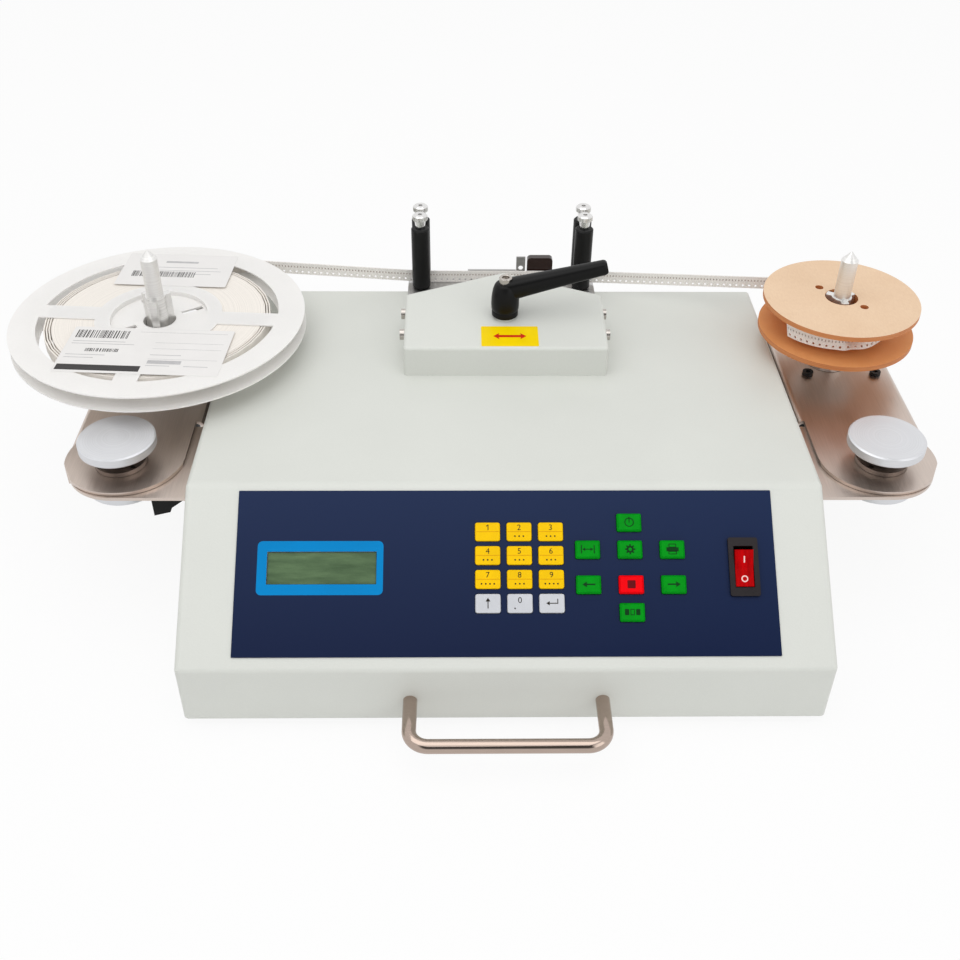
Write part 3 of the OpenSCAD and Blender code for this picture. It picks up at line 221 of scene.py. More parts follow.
def make_world():
    """White surround; reflections also find the dim opening of a light tent in front of the object."""
    world = bpy.data.worlds.new("world")
    world.use_nodes = True
    bpy.context.scene.world = world
    tree = world.node_tree
    level = span(tree, seen_directly(tree), 0, 1, WORLD_FILL, WORLD_SEEN)
    toward = node(tree, "VectorMath", {"operation": "DOT_PRODUCT"})
    put(tree, toward.inputs[0], node(tree, "TexCoord").outputs["Generated"])
    put(tree, toward.inputs[1], TENT_WAY)
    opening = node(tree, "MapRange", {"interpolation_type": "SMOOTHSTEP"}, Value=toward.outputs["Value"],
                   From_Min=math.cos(math.radians(TENT_EDGE)), From_Max=math.cos(math.radians(TENT_CORE)),
                   To_Max=TENT_DIM)
    dimmed = calc(tree, "MULTIPLY", opening.outputs[0], node(tree, "LightPath").outputs["Is Glossy Ray"])
    background = tree.nodes["Background"].inputs
    put(tree, background["Strength"], calc(tree, "SUBTRACT", level, dimmed))
    put(tree, background["Color"], (1, 1, 1, 1))


def add_lamp(name, at, target, size, watts):
    data = bpy.data.lights.new(name, "AREA")
    data.shape, data.size, data.energy = "SQUARE", size, watts
    lamp = bpy.data.objects.new(name, data)
    bpy.context.scene.collection.objects.link(lamp)
    lamp.location = at
    lamp.rotation_euler = (Vector(target) - Vector(at)).to_track_quat("-Z", "Y").to_euler()


def make_floor():
    """Pale floor that is nearly plain white where it is seen, and keeps the shadow."""
    mesh = bpy.data.meshes.new("floor")
    corners = [(-1, -1), (1, -1), (1, 1), (-1, 1)]
    mesh.from_pydata([(x * FLOOR_HALF, y * FLOOR_HALF, 0) for x, y in corners], [], [(0, 1, 2, 3)])
    floor = bpy.data.objects.new("floor", mesh)
    bpy.context.scene.collection.objects.link(floor)
    tree, _ = shader("floor_white", 0.9, Base_Color=(FLOOR_TONE, FLOOR_TONE, FLOOR_TONE, 1), Specular_IOR_Level=0.0)
    both = node(tree, "MixShader")
    put(tree, both.inputs[0], calc(tree, "MULTIPLY", seen_directly(tree), FLOOR_WHITE))
    put(tree, both.inputs[1], tree.nodes["Principled BSDF"].outputs[0])
    put(tree, both.inputs[2], node(tree, "Emission", Strength=1.0).outputs[0])
    put(tree, tree.nodes["Material Output"].inputs["Surface"], both.outputs[0])
    mesh.materials.append(M["floor_white"])


# ---------------------------------------------------------------- finishes

def finish(name, rgb, rough, metal=0.0, vary=0.03, cloud=18.0, grain=1500.0, relief=0.1, stretch=(1, 1, 1),
           spread=0.06, **fixed):
    """Coloured finish with cloudy colour, a fine grain and uneven gloss."""
    tree, base = shader(name, rough, metal, **fixed)
    at = place(tree, stretch)
    fine = noise(tree, at, grain)
    both = weighed(tree, noise(tree, at, cloud, 3.0), fine, 0.6)
    put(tree, base["Base Color"], tinted(tree, both, rgb, 1 - vary, 1 + vary))
    put(tree, base["Roughness"], spread_over(tree, both, rough - spread, rough + spread))
    put(tree, base["Normal"], bump(tree, fine, relief, GRAIN_DEPTH))


def turned(name, rgb, rough, axis, vary):
    """Lathe-turned metal: fine rings round the axis, and along it."""
    tree, base = shader(name, rough, 0.9)
    line = node(tree, "CombineXYZ", X=round_axis(tree, axis), Y=calc(tree, "MULTIPLY", height_of(tree), 0.8))
    rings = noise(tree, line.outputs[0], 2600.0)
    clouds = noise(tree, place(tree), 60.0, 3.0)
    put(tree, base["Base Color"], tinted(tree, rings, rgb, 1 - vary, 1 + vary))
    put(tree, base["Roughness"], spread_over(tree, clouds, rough - 0.05, rough + 0.07))
    put(tree, base["Normal"], bump(tree, rings, 0.12, FINE_DEPTH))


def zinc(name):
    """Galvanised sheet with its spangle."""
    tree, base = shader(name, 0.45, 0.85)
    cells = node(tree, "TexVoronoi", Vector=place(tree), Scale=90.0)
    tone = node(tree, "SeparateXYZ", Vector=cells.outputs["Color"]).outputs[0]
    put(tree, base["Base Color"], mix(tree, tone, linear((168, 172, 176)), linear((205, 208, 210))))
    put(tree, base["Roughness"], span(tree, tone, 0, 1, 0.36, 0.52))
    put(tree, base["Normal"], bump(tree, noise(tree, place(tree), 900.0), 0.06, GRAIN_DEPTH))


def display(name):
    """Blank reflective display glass with faint streaks."""
    tree, base = shader(name, 0.22, Specular_IOR_Level=0.2, Coat_Weight=0.25, Coat_Roughness=0.04)
    streaks = noise(tree, place(tree, (14, 70, 70)), 3.0, 4.0, 0.6)
    tone = weighed(tree, streaks, noise(tree, place(tree), 2600.0, 1.0), 0.85)
    green = mix(tree, span(tree, tone, 0.35, 0.7, 0, 1), linear((52, 82, 44)), linear((90, 119, 78)))
    put(tree, base["Base Color"], green)
    put(tree, base["Roughness"], span(tree, tone, 0.35, 0.7, 0.18, 0.3))


def panel(name):
    """Satin printed sheet, made a little paler towards its upper edge by a painted reflection."""
    tree, base = shader(name, 0.34, Specular_IOR_Level=0.12)
    clouds = noise(tree, place(tree), 9.0, 3.0)
    # painted reflection: the colour pales with height up the slope
    rise = span(tree, height_of(tree), 0.045, 0.097, 0, 0.8)
    tone = calc(tree, "ADD", rise, calc(tree, "MULTIPLY", clouds, 0.2))
    put(tree, base["Base Color"], mix(tree, tone, linear((4, 22, 59)), linear((24, 41, 77))))
    put(tree, base["Roughness"], spread_over(tree, clouds, 0.3, 0.38))
    put(tree, base["Normal"], bump(tree, noise(tree, place(tree), 3200.0), 0.05, GRAIN_DEPTH))


def board(name):
    """Pressboard: a pale fibrous outer face, inner faces made browner by a painted shade, and darker cut edges."""
    tree, base = shader(name, 0.62)
    up = node(tree, "SeparateXYZ", Vector=node(tree, "NewGeometry").outputs["Normal"]).outputs[2]
    level = span(tree, calc(tree, "ABSOLUTE", up), 0.3, 0.8, 0, 1)
    fibres = noise(tree, place(tree, (1, 0.35, 1)), 900.0, 4.0, 0.65)
    clouds = noise(tree, place(tree), 45.0, 3.0)
    layers = noise(tree, place(tree, (0.02, 0.02, 1)), 2200.0, 1.0)
    tone = span(tree, calc(tree, "ADD", fibres, calc(tree, "MULTIPLY", clouds, 0.6)), 0.5, 1.1, 0, 1)
    outer = mix(tree, tone, linear((228, 194, 160)), linear((240, 210, 178)))
    # painted shade: every face below the top board's upper face is browner and more orange
    inner = mix(tree, clouds, linear((220, 148, 88)), linear((236, 168, 106)))
    face = mix(tree, span(tree, height_of(tree), 0.1352, 0.1360, 0, 1), inner, outer)
    edge = mix(tree, layers, linear((186, 104, 54)), linear((222, 150, 92)))
    put(tree, base["Base Color"], mix(tree, level, edge, face))
    put(tree, base["Roughness"], spread_over(tree, fibres, 0.52, 0.72))
    put(tree, base["Normal"], bump(tree, fibres, 0.16, GRAIN_DEPTH))


def paper(name, rgb, wound=False):
    """Tape paper; on a winding, the turns show as fine rings on the top and base."""
    tree, base = shader(name, 0.66)
    fibres = noise(tree, place(tree), 1600.0, 3.0)
    tone, relief = fibres, (fibres, 0.12, FINE_DEPTH)
    if wound:
        line = node(tree, "CombineXYZ", X=round_axis(tree, (SPIN_X, SPIN_Y)))
        turns = noise(tree, line.outputs[0], 1500.0, 1.0)
        tone, relief = weighed(tree, turns, fibres, 0.75), (turns, 0.3, TURN_DEPTH)
    put(tree, base["Base Color"], tinted(tree, tone, rgb, 0.93, 1.03))
    put(tree, base["Roughness"], spread_over(tree, fibres, 0.58, 0.74))
    put(tree, base["Normal"], bump(tree, *relief))


def make_finishes():
    finish("case_paint", (219, 221, 215), 0.42, vary=0.012, grain=1300, relief=0.16, Specular_IOR_Level=0.35)
    panel("panel_print")
    display("display")
    finish("circuit_board", (20, 92, 48), 0.4, vary=0.1, cloud=90)
    zinc("zinc_sheet")
    finish("rubber", (30, 30, 31), 0.8, vary=0.12, grain=900, relief=0.3, Specular_IOR_Level=0.2)
    finish("bright_screws", (190, 184, 178), 0.24, 1.0, vary=0.06, grain=2200, relief=0.05)
    finish("handle_chrome", (178, 161, 150), 0.13, 1.0, vary=0.04, cloud=25, grain=900, relief=0.03,
           stretch=(0.1, 1, 1), spread=0.04)
    finish("black_plastic", (15, 15, 15), 0.36, vary=0.14, cloud=40, grain=1900, relief=0.14, Specular_IOR_Level=0.16)
    finish("roller_black", (25, 25, 25), 0.4, vary=0.12, cloud=50, grain=1700, relief=0.12, stretch=(1, 1, 0.3),
           Specular_IOR_Level=0.16)
    finish("switch_black", (36, 31, 33), 0.32, vary=0.1, cloud=60, grain=2000, relief=0.1, Specular_IOR_Level=0.2)
    finish("motor_black", (26, 26, 28), 0.45, vary=0.12, cloud=60, grain=1400, Specular_IOR_Level=0.3)
    finish("rocker_red", (176, 0, 4), 0.3, vary=0.18, cloud=320, grain=900, relief=0.03, stretch=(1, 0.25, 0.25),
           spread=0.03, Specular_IOR_Level=0.05)
    finish("track_steel", (196, 195, 194), 0.36, 1.0, vary=0.05, grain=1800, stretch=(0.08, 1, 1))
    finish("thumb_chrome", (224, 223, 222), 0.18, 1.0, vary=0.04, grain=2400, relief=0.04)
    finish("sensor_brown", (44, 28, 24), 0.16, vary=0.1, cloud=80, grain=2200, relief=0.03, Specular_IOR_Level=0.3,
           Coat_Weight=0.3, Coat_Roughness=0.05)
    # Stainless darkened by a painted shade and painted dark reflection, for faces under the knobs' caps and on the
    # arms' inner flanges.
    finish("stainless_painted_shade", (140, 129, 122), 0.4, 1.0, vary=0.06, cloud=30, grain=1700, relief=0.1,
           stretch=(1, 0.03, 1), spread=0.07)
    finish("stainless", (206, 193, 184), 0.36, 1.0, vary=0.06, cloud=30, grain=1700, relief=0.1, stretch=(1, 0.03, 1),
           spread=0.07)
    turned("knob_turned", (218, 219, 222), 0.42, (PIVOT_X, PIVOT_Y), 0.02)
    turned("spindle_turned", (230, 229, 227), 0.38, (SPIN_X, SPIN_Y), 0.05)
    paper("tape_paper", (247, 243, 238))
    paper("tape_wound", (247, 241, 233), True)
    finish("tape_pocket", (184, 170, 162), 0.5, vary=0.15, cloud=900)
    finish("reel_white", (246, 244, 241), 0.38, vary=0.012, cloud=30, grain=1100, relief=0.06, Specular_IOR_Level=0.3,
           Subsurface_Weight=0.28, Subsurface_Radius=(1.0, 0.98, 0.95), Subsurface_Scale=0.006)
    board("reel_board")
    finish("key_yellow", (248, 199, 0), 0.4, vary=0.03, cloud=120, grain=2400, relief=0.06, Specular_IOR_Level=0.08)
    finish("key_white", (206, 208, 213), 0.4, vary=0.02, cloud=120, grain=2400, relief=0.06, Specular_IOR_Level=0.1)
    finish("key_green", (0, 146, 24), 0.36, vary=0.07, cloud=150, grain=2200, relief=0.08, Specular_IOR_Level=0.05)
    finish("key_red", (250, 0, 14), 0.36, vary=0.06, cloud=150, grain=2200, relief=0.08, Specular_IOR_Level=0.05)
    finish("frame_cyan", (0, 132, 200), 0.36, vary=0.03, cloud=40, grain=3000, relief=0.04, Specular_IOR_Level=0.06)
    finish("ink_black", (40, 34, 28), 0.5, vary=0.1, cloud=300, Specular_IOR_Level=0.1)
    finish("ink_green", (4, 56, 18), 0.5, vary=0.1, cloud=300, Specular_IOR_Level=0.1)
    finish("ink_maroon", (104, 4, 14), 0.5, vary=0.1, cloud=300, Specular_IOR_Level=0.1)
    finish("ink_amber", (206, 132, 10), 0.5, vary=0.08, cloud=300, Specular_IOR_Level=0.1)
    finish("ink_white", (250, 208, 205), 0.4, vary=0.03, cloud=300, Specular_IOR_Level=0.2)
    finish("label_paper", (236, 234, 232), 0.5, vary=0.012, cloud=60, grain=2000, Specular_IOR_Level=0.2)
    finish("label_ink", (62, 60, 60), 0.55, vary=0.12, cloud=500, Specular_IOR_Level=0.2)
    finish("label_grey", (190, 189, 190), 0.55, vary=0.06, cloud=500, Specular_IOR_Level=0.2)
    finish("label_yellow", (250, 215, 0), 0.34, vary=0.025, cloud=90, grain=2600, relief=0.04, Specular_IOR_Level=0.1)
    finish("label_red", (205, 40, 20), 0.4, vary=0.05, cloud=200, Specular_IOR_Level=0.1)


# ---------------------------------------------------------------- dressing of the CAD nodes

# Nodes and slots whose finish has another name than the material slot.
NODE_FINISH = {
    "left_knob": "knob_turned", "right_knob": "knob_turned", "pivot_posts": "knob_turned",
    "left_tape": "tape_wound", "switch_housing": "switch_black",
    "roller_front_left": "roller_black", "roller_front_right": "roller_black",
    "roller_rear_left": "roller_black", "roller_rear_right": "roller_black",
}
SLOT_FINISH = {"turned_aluminium": "spindle_turned"}

SENSOR_X, SENSOR_Z = 20.0, 104.75                     # the sensor's bracket is left of or below these
FLANGE_TOP = 100.5                                    # of a knob, under its cap; faces below it get a painted shade
ARM_INNER, SIDEWAYS = PIVOT_X - 34.0, 0.6             # an arm's inner flange is further in, and faces sideways; its faces get a painted shade


def dress_nodes():
    """Gives every CAD node one finish, in most cases the one named like its material slot."""
    slots = {row["node"]: row["material_slot"] for row in frame["record"]["subparts"]}
    for name, obj in NODES.items():
        look = NODE_FINISH.get(name) or SLOT_FINISH.get(slots[name], slots[name])
        obj.data.materials.clear()
        obj.data.materials.append(M[look])
        obj.data.polygons.foreach_set("material_index", [0] * len(obj.data.polygons))


def paint_faces(name, look, test):
    """Gives the faces of a CAD node that pass the test a second finish, which may be a painted shade."""
    mesh = NODES[name].data
    mesh.materials.append(M[look])
    index = len(mesh.materials) - 1
    for face in mesh.polygons:
        if test(face.center / MM, face.normal):
            face.material_index = index


def paint_details():
    paint_faces("sensor_holder", "track_steel", lambda c, n: c.x < SENSOR_X or c.z < SENSOR_Z)
    # The knobs' flanges are stainless like the arms; they and the necks are darkened by a painted shade under the
    # caps. The arms' inner flanges get the same painted shade and dark reflection.
    for side in ("left", "right"):
        paint_faces(side + "_knob", "stainless_painted_shade", lambda c, n: c.z < FLANGE_TOP)
        paint_faces(side + "_arm", "stainless_painted_shade", lambda c, n: abs(c.x) < ARM_INNER and abs(n.x) > SIDEWAYS)


# ---------------------------------------------------------------- mesh helpers

def piece(name, verts, faces, looks, body, slot, replaces=(), smooth=None, material_of=None):
    """New piece from millimetre points; edges sharper than the smooth angle stay sharp."""
    mesh = bpy.data.meshes.new(name)
    mesh.from_pydata([Vector(v) * MM for v in verts], [], faces)
    for look in looks:
        mesh.materials.append(M[look])
    if material_of:
        mesh.polygons.foreach_set("material_index", material_of)
    work = bmesh.new()
    work.from_mesh(mesh)
    bmesh.ops.recalc_face_normals(work, faces=work.faces)
    if smooth is not None:
        for face in work.faces:
            face.smooth = True
        for edge in work.edges:
            if len(edge.link_faces) == 2 and edge.calc_face_angle(0) > math.radians(smooth):
                edge.smooth = False
    work.to_mesh(mesh)
    work.free()
    mesh.validate()
    obj = bpy.data.objects.new(name, mesh)
    bpy.context.scene.collection.objects.link(obj)
    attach(obj, body)
    if replaces:
        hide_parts(*replaces)


class Sheet:
    """Closed thin shapes lying in a plane: outlines in plane units are stood on it as shallow solids."""

    def __init__(self, to_space):
        self.to_space, self.verts, self.faces, self.kind = to_space, [], [], []

    def add(self, outline, low, high, kind=0):
        first, n = len(self.verts), len(outline)
        for level in (low, high):
            self.verts += [self.to_space(u, v, level) for u, v in outline]
        self.faces.append([first + i for i in reversed(range(n))])
        self.faces.append([first + n + i for i in range(n)])
        self.faces += [[first + i, first + (i + 1) % n, first + n + (i + 1) % n, first + n + i] for i in range(n)]
        self.kind += [kind] * (n + 2)

    def ring(self, outer, inner, low, high, kind=0):
        """Band between two outlines of equal count."""
        first, n = len(self.verts), len(outer)
        for outline, level in ((outer, low), (outer, high), (inner, high), (inner, low)):
            self.verts += [self.to_space(u, v, level) for u, v in outline]
        for k in range(4):
            a, b = first + k * n, first + (k + 1) % 4 * n
            self.faces += [[a + i, a + (i + 1) % n, b + (i + 1) % n, b + i] for i in range(n)]
        self.kind += [kind] * (4 * n)

    def bar(self, x0, y0, x1, y1, low, high, kind=0):
        self.add([(x0, y0), (x1, y0), (x1, y1), (x0, y1)], low, high, kind)

    def stroke(self, a, b, width, low, high, kind=0):
        """Straight bar of a width from a to b."""
        a, b = Vector(a), Vector(b)
        d = (b - a).normalized() * width / 2
        across = Vector((-d.y, d.x))
        self.add([b + across, b - across, a - across, a + across], low, high, kind)

    def make(self, name, looks, body, slot):
        piece(name, self.verts, self.faces, looks, body, slot, material_of=self.kind)


def rounded(x, y, w, l, r, steps=5):
    """Outline of a rectangle with round corners, about (x, y)."""
    points = []
    for cx, cy, start in ((1, 1, 0), (-1, 1, 90), (-1, -1, 180), (1, -1, 270)):
        for i in range(steps + 1):
            a = math.radians(start + 90 * i / steps)
            points.append((x + cx * (w / 2 - r) + r * math.cos(a), y + cy * (l / 2 - r) + r * math.sin(a)))
    return points


def circle(x, y, r, n=24):
    return [(x + r * math.cos(2 * math.pi * i / n), y + r * math.sin(2 * math.pi * i / n)) for i in range(n)]


def loft(sections):
    """Skin over rings of equal count, closed at both ends."""
    n = len(sections[0])
    verts = [p for s in sections for p in s]
    faces = [[k * n + i, k * n + (i + 1) % n, (k + 1) * n + (i + 1) % n, (k + 1) * n + i]
             for k in range(len(sections) - 1) for i in range(n)]
    faces.append(list(reversed(range(n))))
    faces.append([(len(sections) - 1) * n + i for i in range(n)])
    return verts, faces


def lathe(profile, n):
    """Turned shape about z from (radius, height) points."""
    return loft([[Vector((x, y, z)) for x, y in circle(0, 0, r, n)] for r, z in profile])


def glyph(text, height):
    """Points and faces of a plain character, centred, in millimetres."""
    curve = bpy.data.curves.new("glyph", "FONT")
    curve.body, curve.size = text, 1.0
    curve.resolution_u = 4
    obj = bpy.data.objects.new("glyph", curve)
    bpy.context.scene.collection.objects.link(obj)
    bpy.context.view_layer.update()
    mesh = bpy.data.meshes.new_from_object(obj.evaluated_get(bpy.context.evaluated_depsgraph_get()))
    points = [(v.co.x, v.co.y) for v in mesh.vertices]
    faces = [list(f.vertices) for f in mesh.polygons]
    bpy.data.objects.remove(obj)
    bpy.data.curves.remove(curve)
    bpy.data.meshes.remove(mesh)
    lo = [min(p[k] for p in points) for k in (0, 1)]
    hi = [max(p[k] for p in points) for k in (0, 1)]
    k = height / (hi[1] - lo[1])
    mid = [(lo[i] + hi[i]) / 2 for i in (0, 1)]
    return [((x - mid[0]) * k, (y - mid[1]) * k) for x, y in points], faces


def add_glyph(sheet, text, x, y, height, low, high):
    """Stands a flat character on the sheet as a shallow solid."""
    points, faces = glyph(text, height)
    first, n = len(sheet.verts), len(points)
    for level in (low, high):
        sheet.verts += [sheet.to_space(x + u, y + v, level) for u, v in points]
    edges = {(a, b) for f in faces for a, b in zip(f, f[1:] + f[:1])}
    rim = [(a, b) for f in faces for a, b in zip(f, f[1:] + f[:1]) if (b, a) not in edges]
    new = [[first + n + i for i in f] for f in faces] + [[first + i for i in reversed(f)] for f in faces]
    new += [[first + a, first + b, first + n + b, first + n + a] for a, b in rim]
    sheet.faces += new
    sheet.kind += [0] * len(new)


# ---------------------------------------------------------------- panel

KEY_INK = (0.0, 0.03)                                 # a print's base and top over a key's face
ARROW_SPREAD = 0.62                                   # half the width of an arrow's head, by its length
FRAME_X, FRAME_W, FRAME_L, FRAME_R = -97.0, 65.6, 28.6, 2.6
FRAME_T, FRAME_PLAY = 0.05, 0.05                      # printed frame, and what it leaves round the display
NUMBER_KEYS = ["key_%d" % i for i in range(1, 10)] + ["key_up", "key_0", "key_enter"]
KEY_DOTS = {"2": 3, "3": 3, "4": 3, "5": 3, "6": 3, "7": 4, "8": 3, "9": 4}    # in the place of a key's letters
AMBER = 1                                             # finish of a number key's dividing line


def on_slope(x, s, n):
    """Point on the sloped panel: s up the slope, n over the cover's face."""
    return (x, FRONT_Y + s * math.cos(SLOPE) - n * math.sin(SLOPE),
            FRONT_Z + s * math.sin(SLOPE) + n * math.cos(SLOPE))


def make_display_frame():
    sheet = Sheet(on_slope)
    outer = rounded(FRAME_X, ROW_S, FRAME_W, FRAME_L, FRAME_R)
    inner = rounded(LCD_X, ROW_S, LCD_W + FRAME_PLAY, LCD_L + FRAME_PLAY, 0.2)
    sheet.ring(outer, inner, OVERLAY_T, OVERLAY_T + FRAME_T)
    sheet.make("display_frame_print", ["frame_cyan"], "console", "panel_print")


def key_sheet(x, s, rise):
    """Sheet on a key's face, about its middle."""
    return Sheet(lambda u, v, n: on_slope(x + u, s + v, OVERLAY_T + rise + n))


def arrow(sheet, tail, tip, width, head):
    """Straight arrow from tail to tip, with a head of the given length."""
    a, b = Vector(tail), Vector(tip)
    d = (b - a).normalized()
    side = Vector((-d.y, d.x)) * head * ARROW_SPREAD
    neck = b - d * head
    sheet.stroke(a, neck + d * 0.02, width, *KEY_INK)
    sheet.add([neck - side, b, neck + side], *KEY_INK)


def make_number_keys():
    """Numbers over a dividing line, with dots in the place of the letters."""
    for i, name in enumerate(NUMBER_KEYS):
        x = NUM_X + (i % 3 - 1) * NUM_PITCH_X
        s = ROW_S + (1.5 - i // 3) * NUM_PITCH_S
        sheet = key_sheet(x, s, NUM_RISE)
        mark = name.removeprefix("key_")
        if mark == "up":
            arrow(sheet, (0, -2.6), (0, 3.0), 0.5, 2.0)
        elif mark == "enter":
            arrow(sheet, (3.2, 0), (-3.0, 0), 0.45, 1.8)
            sheet.stroke((3.0, -0.22), (3.0, 2.4), 0.45, *KEY_INK)
        elif mark == "0":
            add_glyph(sheet, "0", 0, 1.7, 3.1, *KEY_INK)
            sheet.add(circle(-2.6, -2.6, 0.4, 12), *KEY_INK)
        else:
            if mark == "1":
                sheet.bar(0.05, 0.85, 0.5, 3.85, *KEY_INK)
                sheet.stroke((-0.75, 2.95), (0.2, 3.62), 0.42, *KEY_INK)
            else:
                add_glyph(sheet, mark, 0, 2.35, 3.0, *KEY_INK)
            sheet.bar(-6.1, -0.1, 6.1, 0.12, *KEY_INK, AMBER)
            dots = KEY_DOTS.get(mark, 0)
            for k in range(dots):
                sheet.add(circle((k - (dots - 1) / 2) * 2.2, -2.4, 0.45, 12), *KEY_INK)
        slot = "key_yellow" if mark in "123456789" else "key_white"
        sheet.make("print_" + name, ["ink_black", "ink_amber"], name, slot)


def make_function_keys():
    """Plain pictograms on the function keys."""
    def power(sheet):
        sheet.ring(circle(0, 0, 2.5), circle(0, 0, 2.0), *KEY_INK)
        sheet.bar(-0.25, -0.2, 0.25, 2.9, *KEY_INK)

    def pitch(sheet):
        sheet.bar(-3.6, -2.2, -3.1, 2.2, *KEY_INK)
        sheet.bar(3.1, -2.2, 3.6, 2.2, *KEY_INK)
        arrow(sheet, (0.2, 0), (-2.9, 0), 0.45, 1.5)
        arrow(sheet, (-0.2, 0), (2.9, 0), 0.45, 1.5)

    def gear(sheet):
        sheet.ring(circle(0, 0, 1.9), circle(0, 0, 0.9), *KEY_INK)
        for k in range(8):
            tooth = Vector((math.cos(math.pi * k / 4), math.sin(math.pi * k / 4)))
            sheet.stroke(tooth * 1.8, tooth * 2.7, 0.8, *KEY_INK)

    def printer(sheet):
        sheet.bar(-3.2, -1.2, 3.2, 1.0, *KEY_INK)
        sheet.ring(rounded(0, 1.9, 4.0, 2.0, 0.2, 1), rounded(0, 1.9, 3.2, 1.2, 0.1, 1), *KEY_INK)
        sheet.ring(rounded(0, -1.9, 4.4, 1.8, 0.2, 1), rounded(0, -1.9, 3.6, 1.0, 0.1, 1), *KEY_INK)

    def left(sheet):
        arrow(sheet, (3.4, 0), (-3.4, 0), 0.8, 2.4)

    def stop(sheet):
        sheet.add(rounded(0, 0, 4.2, 4.2, 0.4, 3), *KEY_INK)

    def right(sheet):
        arrow(sheet, (-3.4, 0), (3.4, 0), 0.8, 2.4)

    def empty(sheet):
        for k in (-1, 0, 1):
            outer = rounded(2.9 * k, 0, 2.2, 3.2, 0.3, 2)
            if k:
                sheet.add(outer, *KEY_INK)
            else:
                sheet.ring(outer, rounded(0, 0, 1.5, 2.5, 0.2, 2), *KEY_INK)

    rows = [("fn_top", 0, FN_OUT, power), ("fn_upper_left", -1, FN_IN, pitch), ("fn_upper_mid", 0, FN_IN, gear),
            ("fn_upper_right", 1, FN_IN, printer), ("fn_lower_left", -1, -FN_IN, left), ("fn_stop", 0, -FN_IN, stop),
            ("fn_lower_right", 1, -FN_IN, right), ("fn_bottom", 0, -FN_OUT, empty)]
    for name, column, row, draw in rows:
        sheet = key_sheet(FN_X + column * FN_PITCH_X, ROW_S + row, FN_RISE)
        draw(sheet)
        ink, slot = ("ink_maroon", "key_red") if name == "fn_stop" else ("ink_green", "key_green")
        sheet.make("print_" + name, [ink], name, slot)


def make_rocker_marks():
    """I and O on the rocker's two faces, in the rocker's own leaned frame."""
    def face(side):
        """Frame of the upper (1) or lower (-1) face, from the low line between them."""
        def to_space(u, v, n):
            y = v * math.cos(ROCKER_FALL) - side * n * math.sin(ROCKER_FALL)
            z = ROCKER_TOP + side * v * math.sin(ROCKER_FALL) + n * math.cos(ROCKER_FALL)
            return on_slope(SWITCH_X + u, ROW_S + y * math.cos(ROCKER_LEAN) - z * math.sin(ROCKER_LEAN),
                            ROCKER_N + y * math.sin(ROCKER_LEAN) + z * math.cos(ROCKER_LEAN))
        return Sheet(to_space)

    one = face(1)
    one.add(rounded(0, 4.6, 0.7, 3.5, 0.25, 3), *KEY_INK)
    one.make("print_rocker_on", ["ink_white"], "rocker", "rocker_red")
    ring = face(-1)
    ring.ring(circle(0, -5.6, 1.8, 28), circle(0, -5.6, 1.15, 28), *KEY_INK)
    ring.make("print_rocker_off", ["ink_white"], "rocker", "rocker_red")


# ---------------------------------------------------------------- labels

LABEL_T, LABEL_INK = 0.14, (0.14, 0.17)               # paper on the supply reel, and a print's base and top on it
LABEL_LIFT = 0.01                                     # of that paper off the flange
HEAD_LABEL_T, HEAD_INK = 0.12, (0.12, 0.16)           # likewise on the head
INK, GREY = 1, 2                                      # finishes of a reel label's prints
RED = 1                                               # finish of the head label's arrow


def on_head(x, v, n):
    """Point on the head's sloping top: v from its front edge, n above the face."""
    return (x, HEAD_Y + v * math.cos(HEAD_TILT) - n * math.sin(HEAD_TILT),
            HEAD_TOP + v * math.sin(HEAD_TILT) + n * math.cos(HEAD_TILT))


def make_head_label():
    """Yellow label at the head's front edge, with a red arrow that points both ways."""
    x, front, wide, deep = 5.6, 2.0, 34.2, 19.6
    sheet = Sheet(lambda u, w, n: on_head(x + u, front + deep / 2 + w, n))
    sheet.add(rounded(0, 0, wide, deep, 0.7, 3), 0.0, HEAD_LABEL_T)
    sheet.bar(-6.8, -1.1, 6.8, 1.1, *HEAD_INK, RED)
    for side in (-1, 1):
        tip = [(side * 9.9, 0), (side * 6.3, 3.0), (side * 6.8, 0), (side * 6.3, -3.0)]
        sheet.add(tip if side < 0 else tip[::-1], *HEAD_INK, RED)
    sheet.make("head_label", ["label_yellow", "label_red"], "console", "panel_print")


def reel_label(name, centre, size, turn, draw):
    """Paper label on the supply reel's top flange: its middle from the spindle, and its turn in degrees."""
    a = math.radians(turn)

    def lay(u, v, n):
        return (-SPIN_X + centre[0] + u * math.cos(a) - v * math.sin(a),
                SPIN_Y + centre[1] + u * math.sin(a) + v * math.cos(a), SUPPLY_TOP + LABEL_LIFT + n)
    sheet = Sheet(lay)
    sheet.add(rounded(0, 0, size[0], size[1], 1.2, 4), 0, LABEL_T)
    draw(sheet, size[0] / 2, size[1] / 2)
    sheet.make(name, ["label_paper", "label_ink", "label_grey"], "left_drive", "tape_paper")


def bars(sheet, pick, x0, x1, y0, y1):
    """Row of plain upright bars of mixed widths, with no code in them."""
    x = x0
    while x < x1 - 0.9:
        w = pick.choice((0.28, 0.28, 0.5, 0.72))
        sheet.bar(x, y0, x + w, y1, *LABEL_INK, INK)
        x += w + pick.choice((0.35, 0.35, 0.6, 0.9))


def rule(sheet, x0, x1, y, t):
    """Level grey line of thickness t."""
    sheet.bar(x0, y, x1, y + t, *LABEL_INK, GREY)


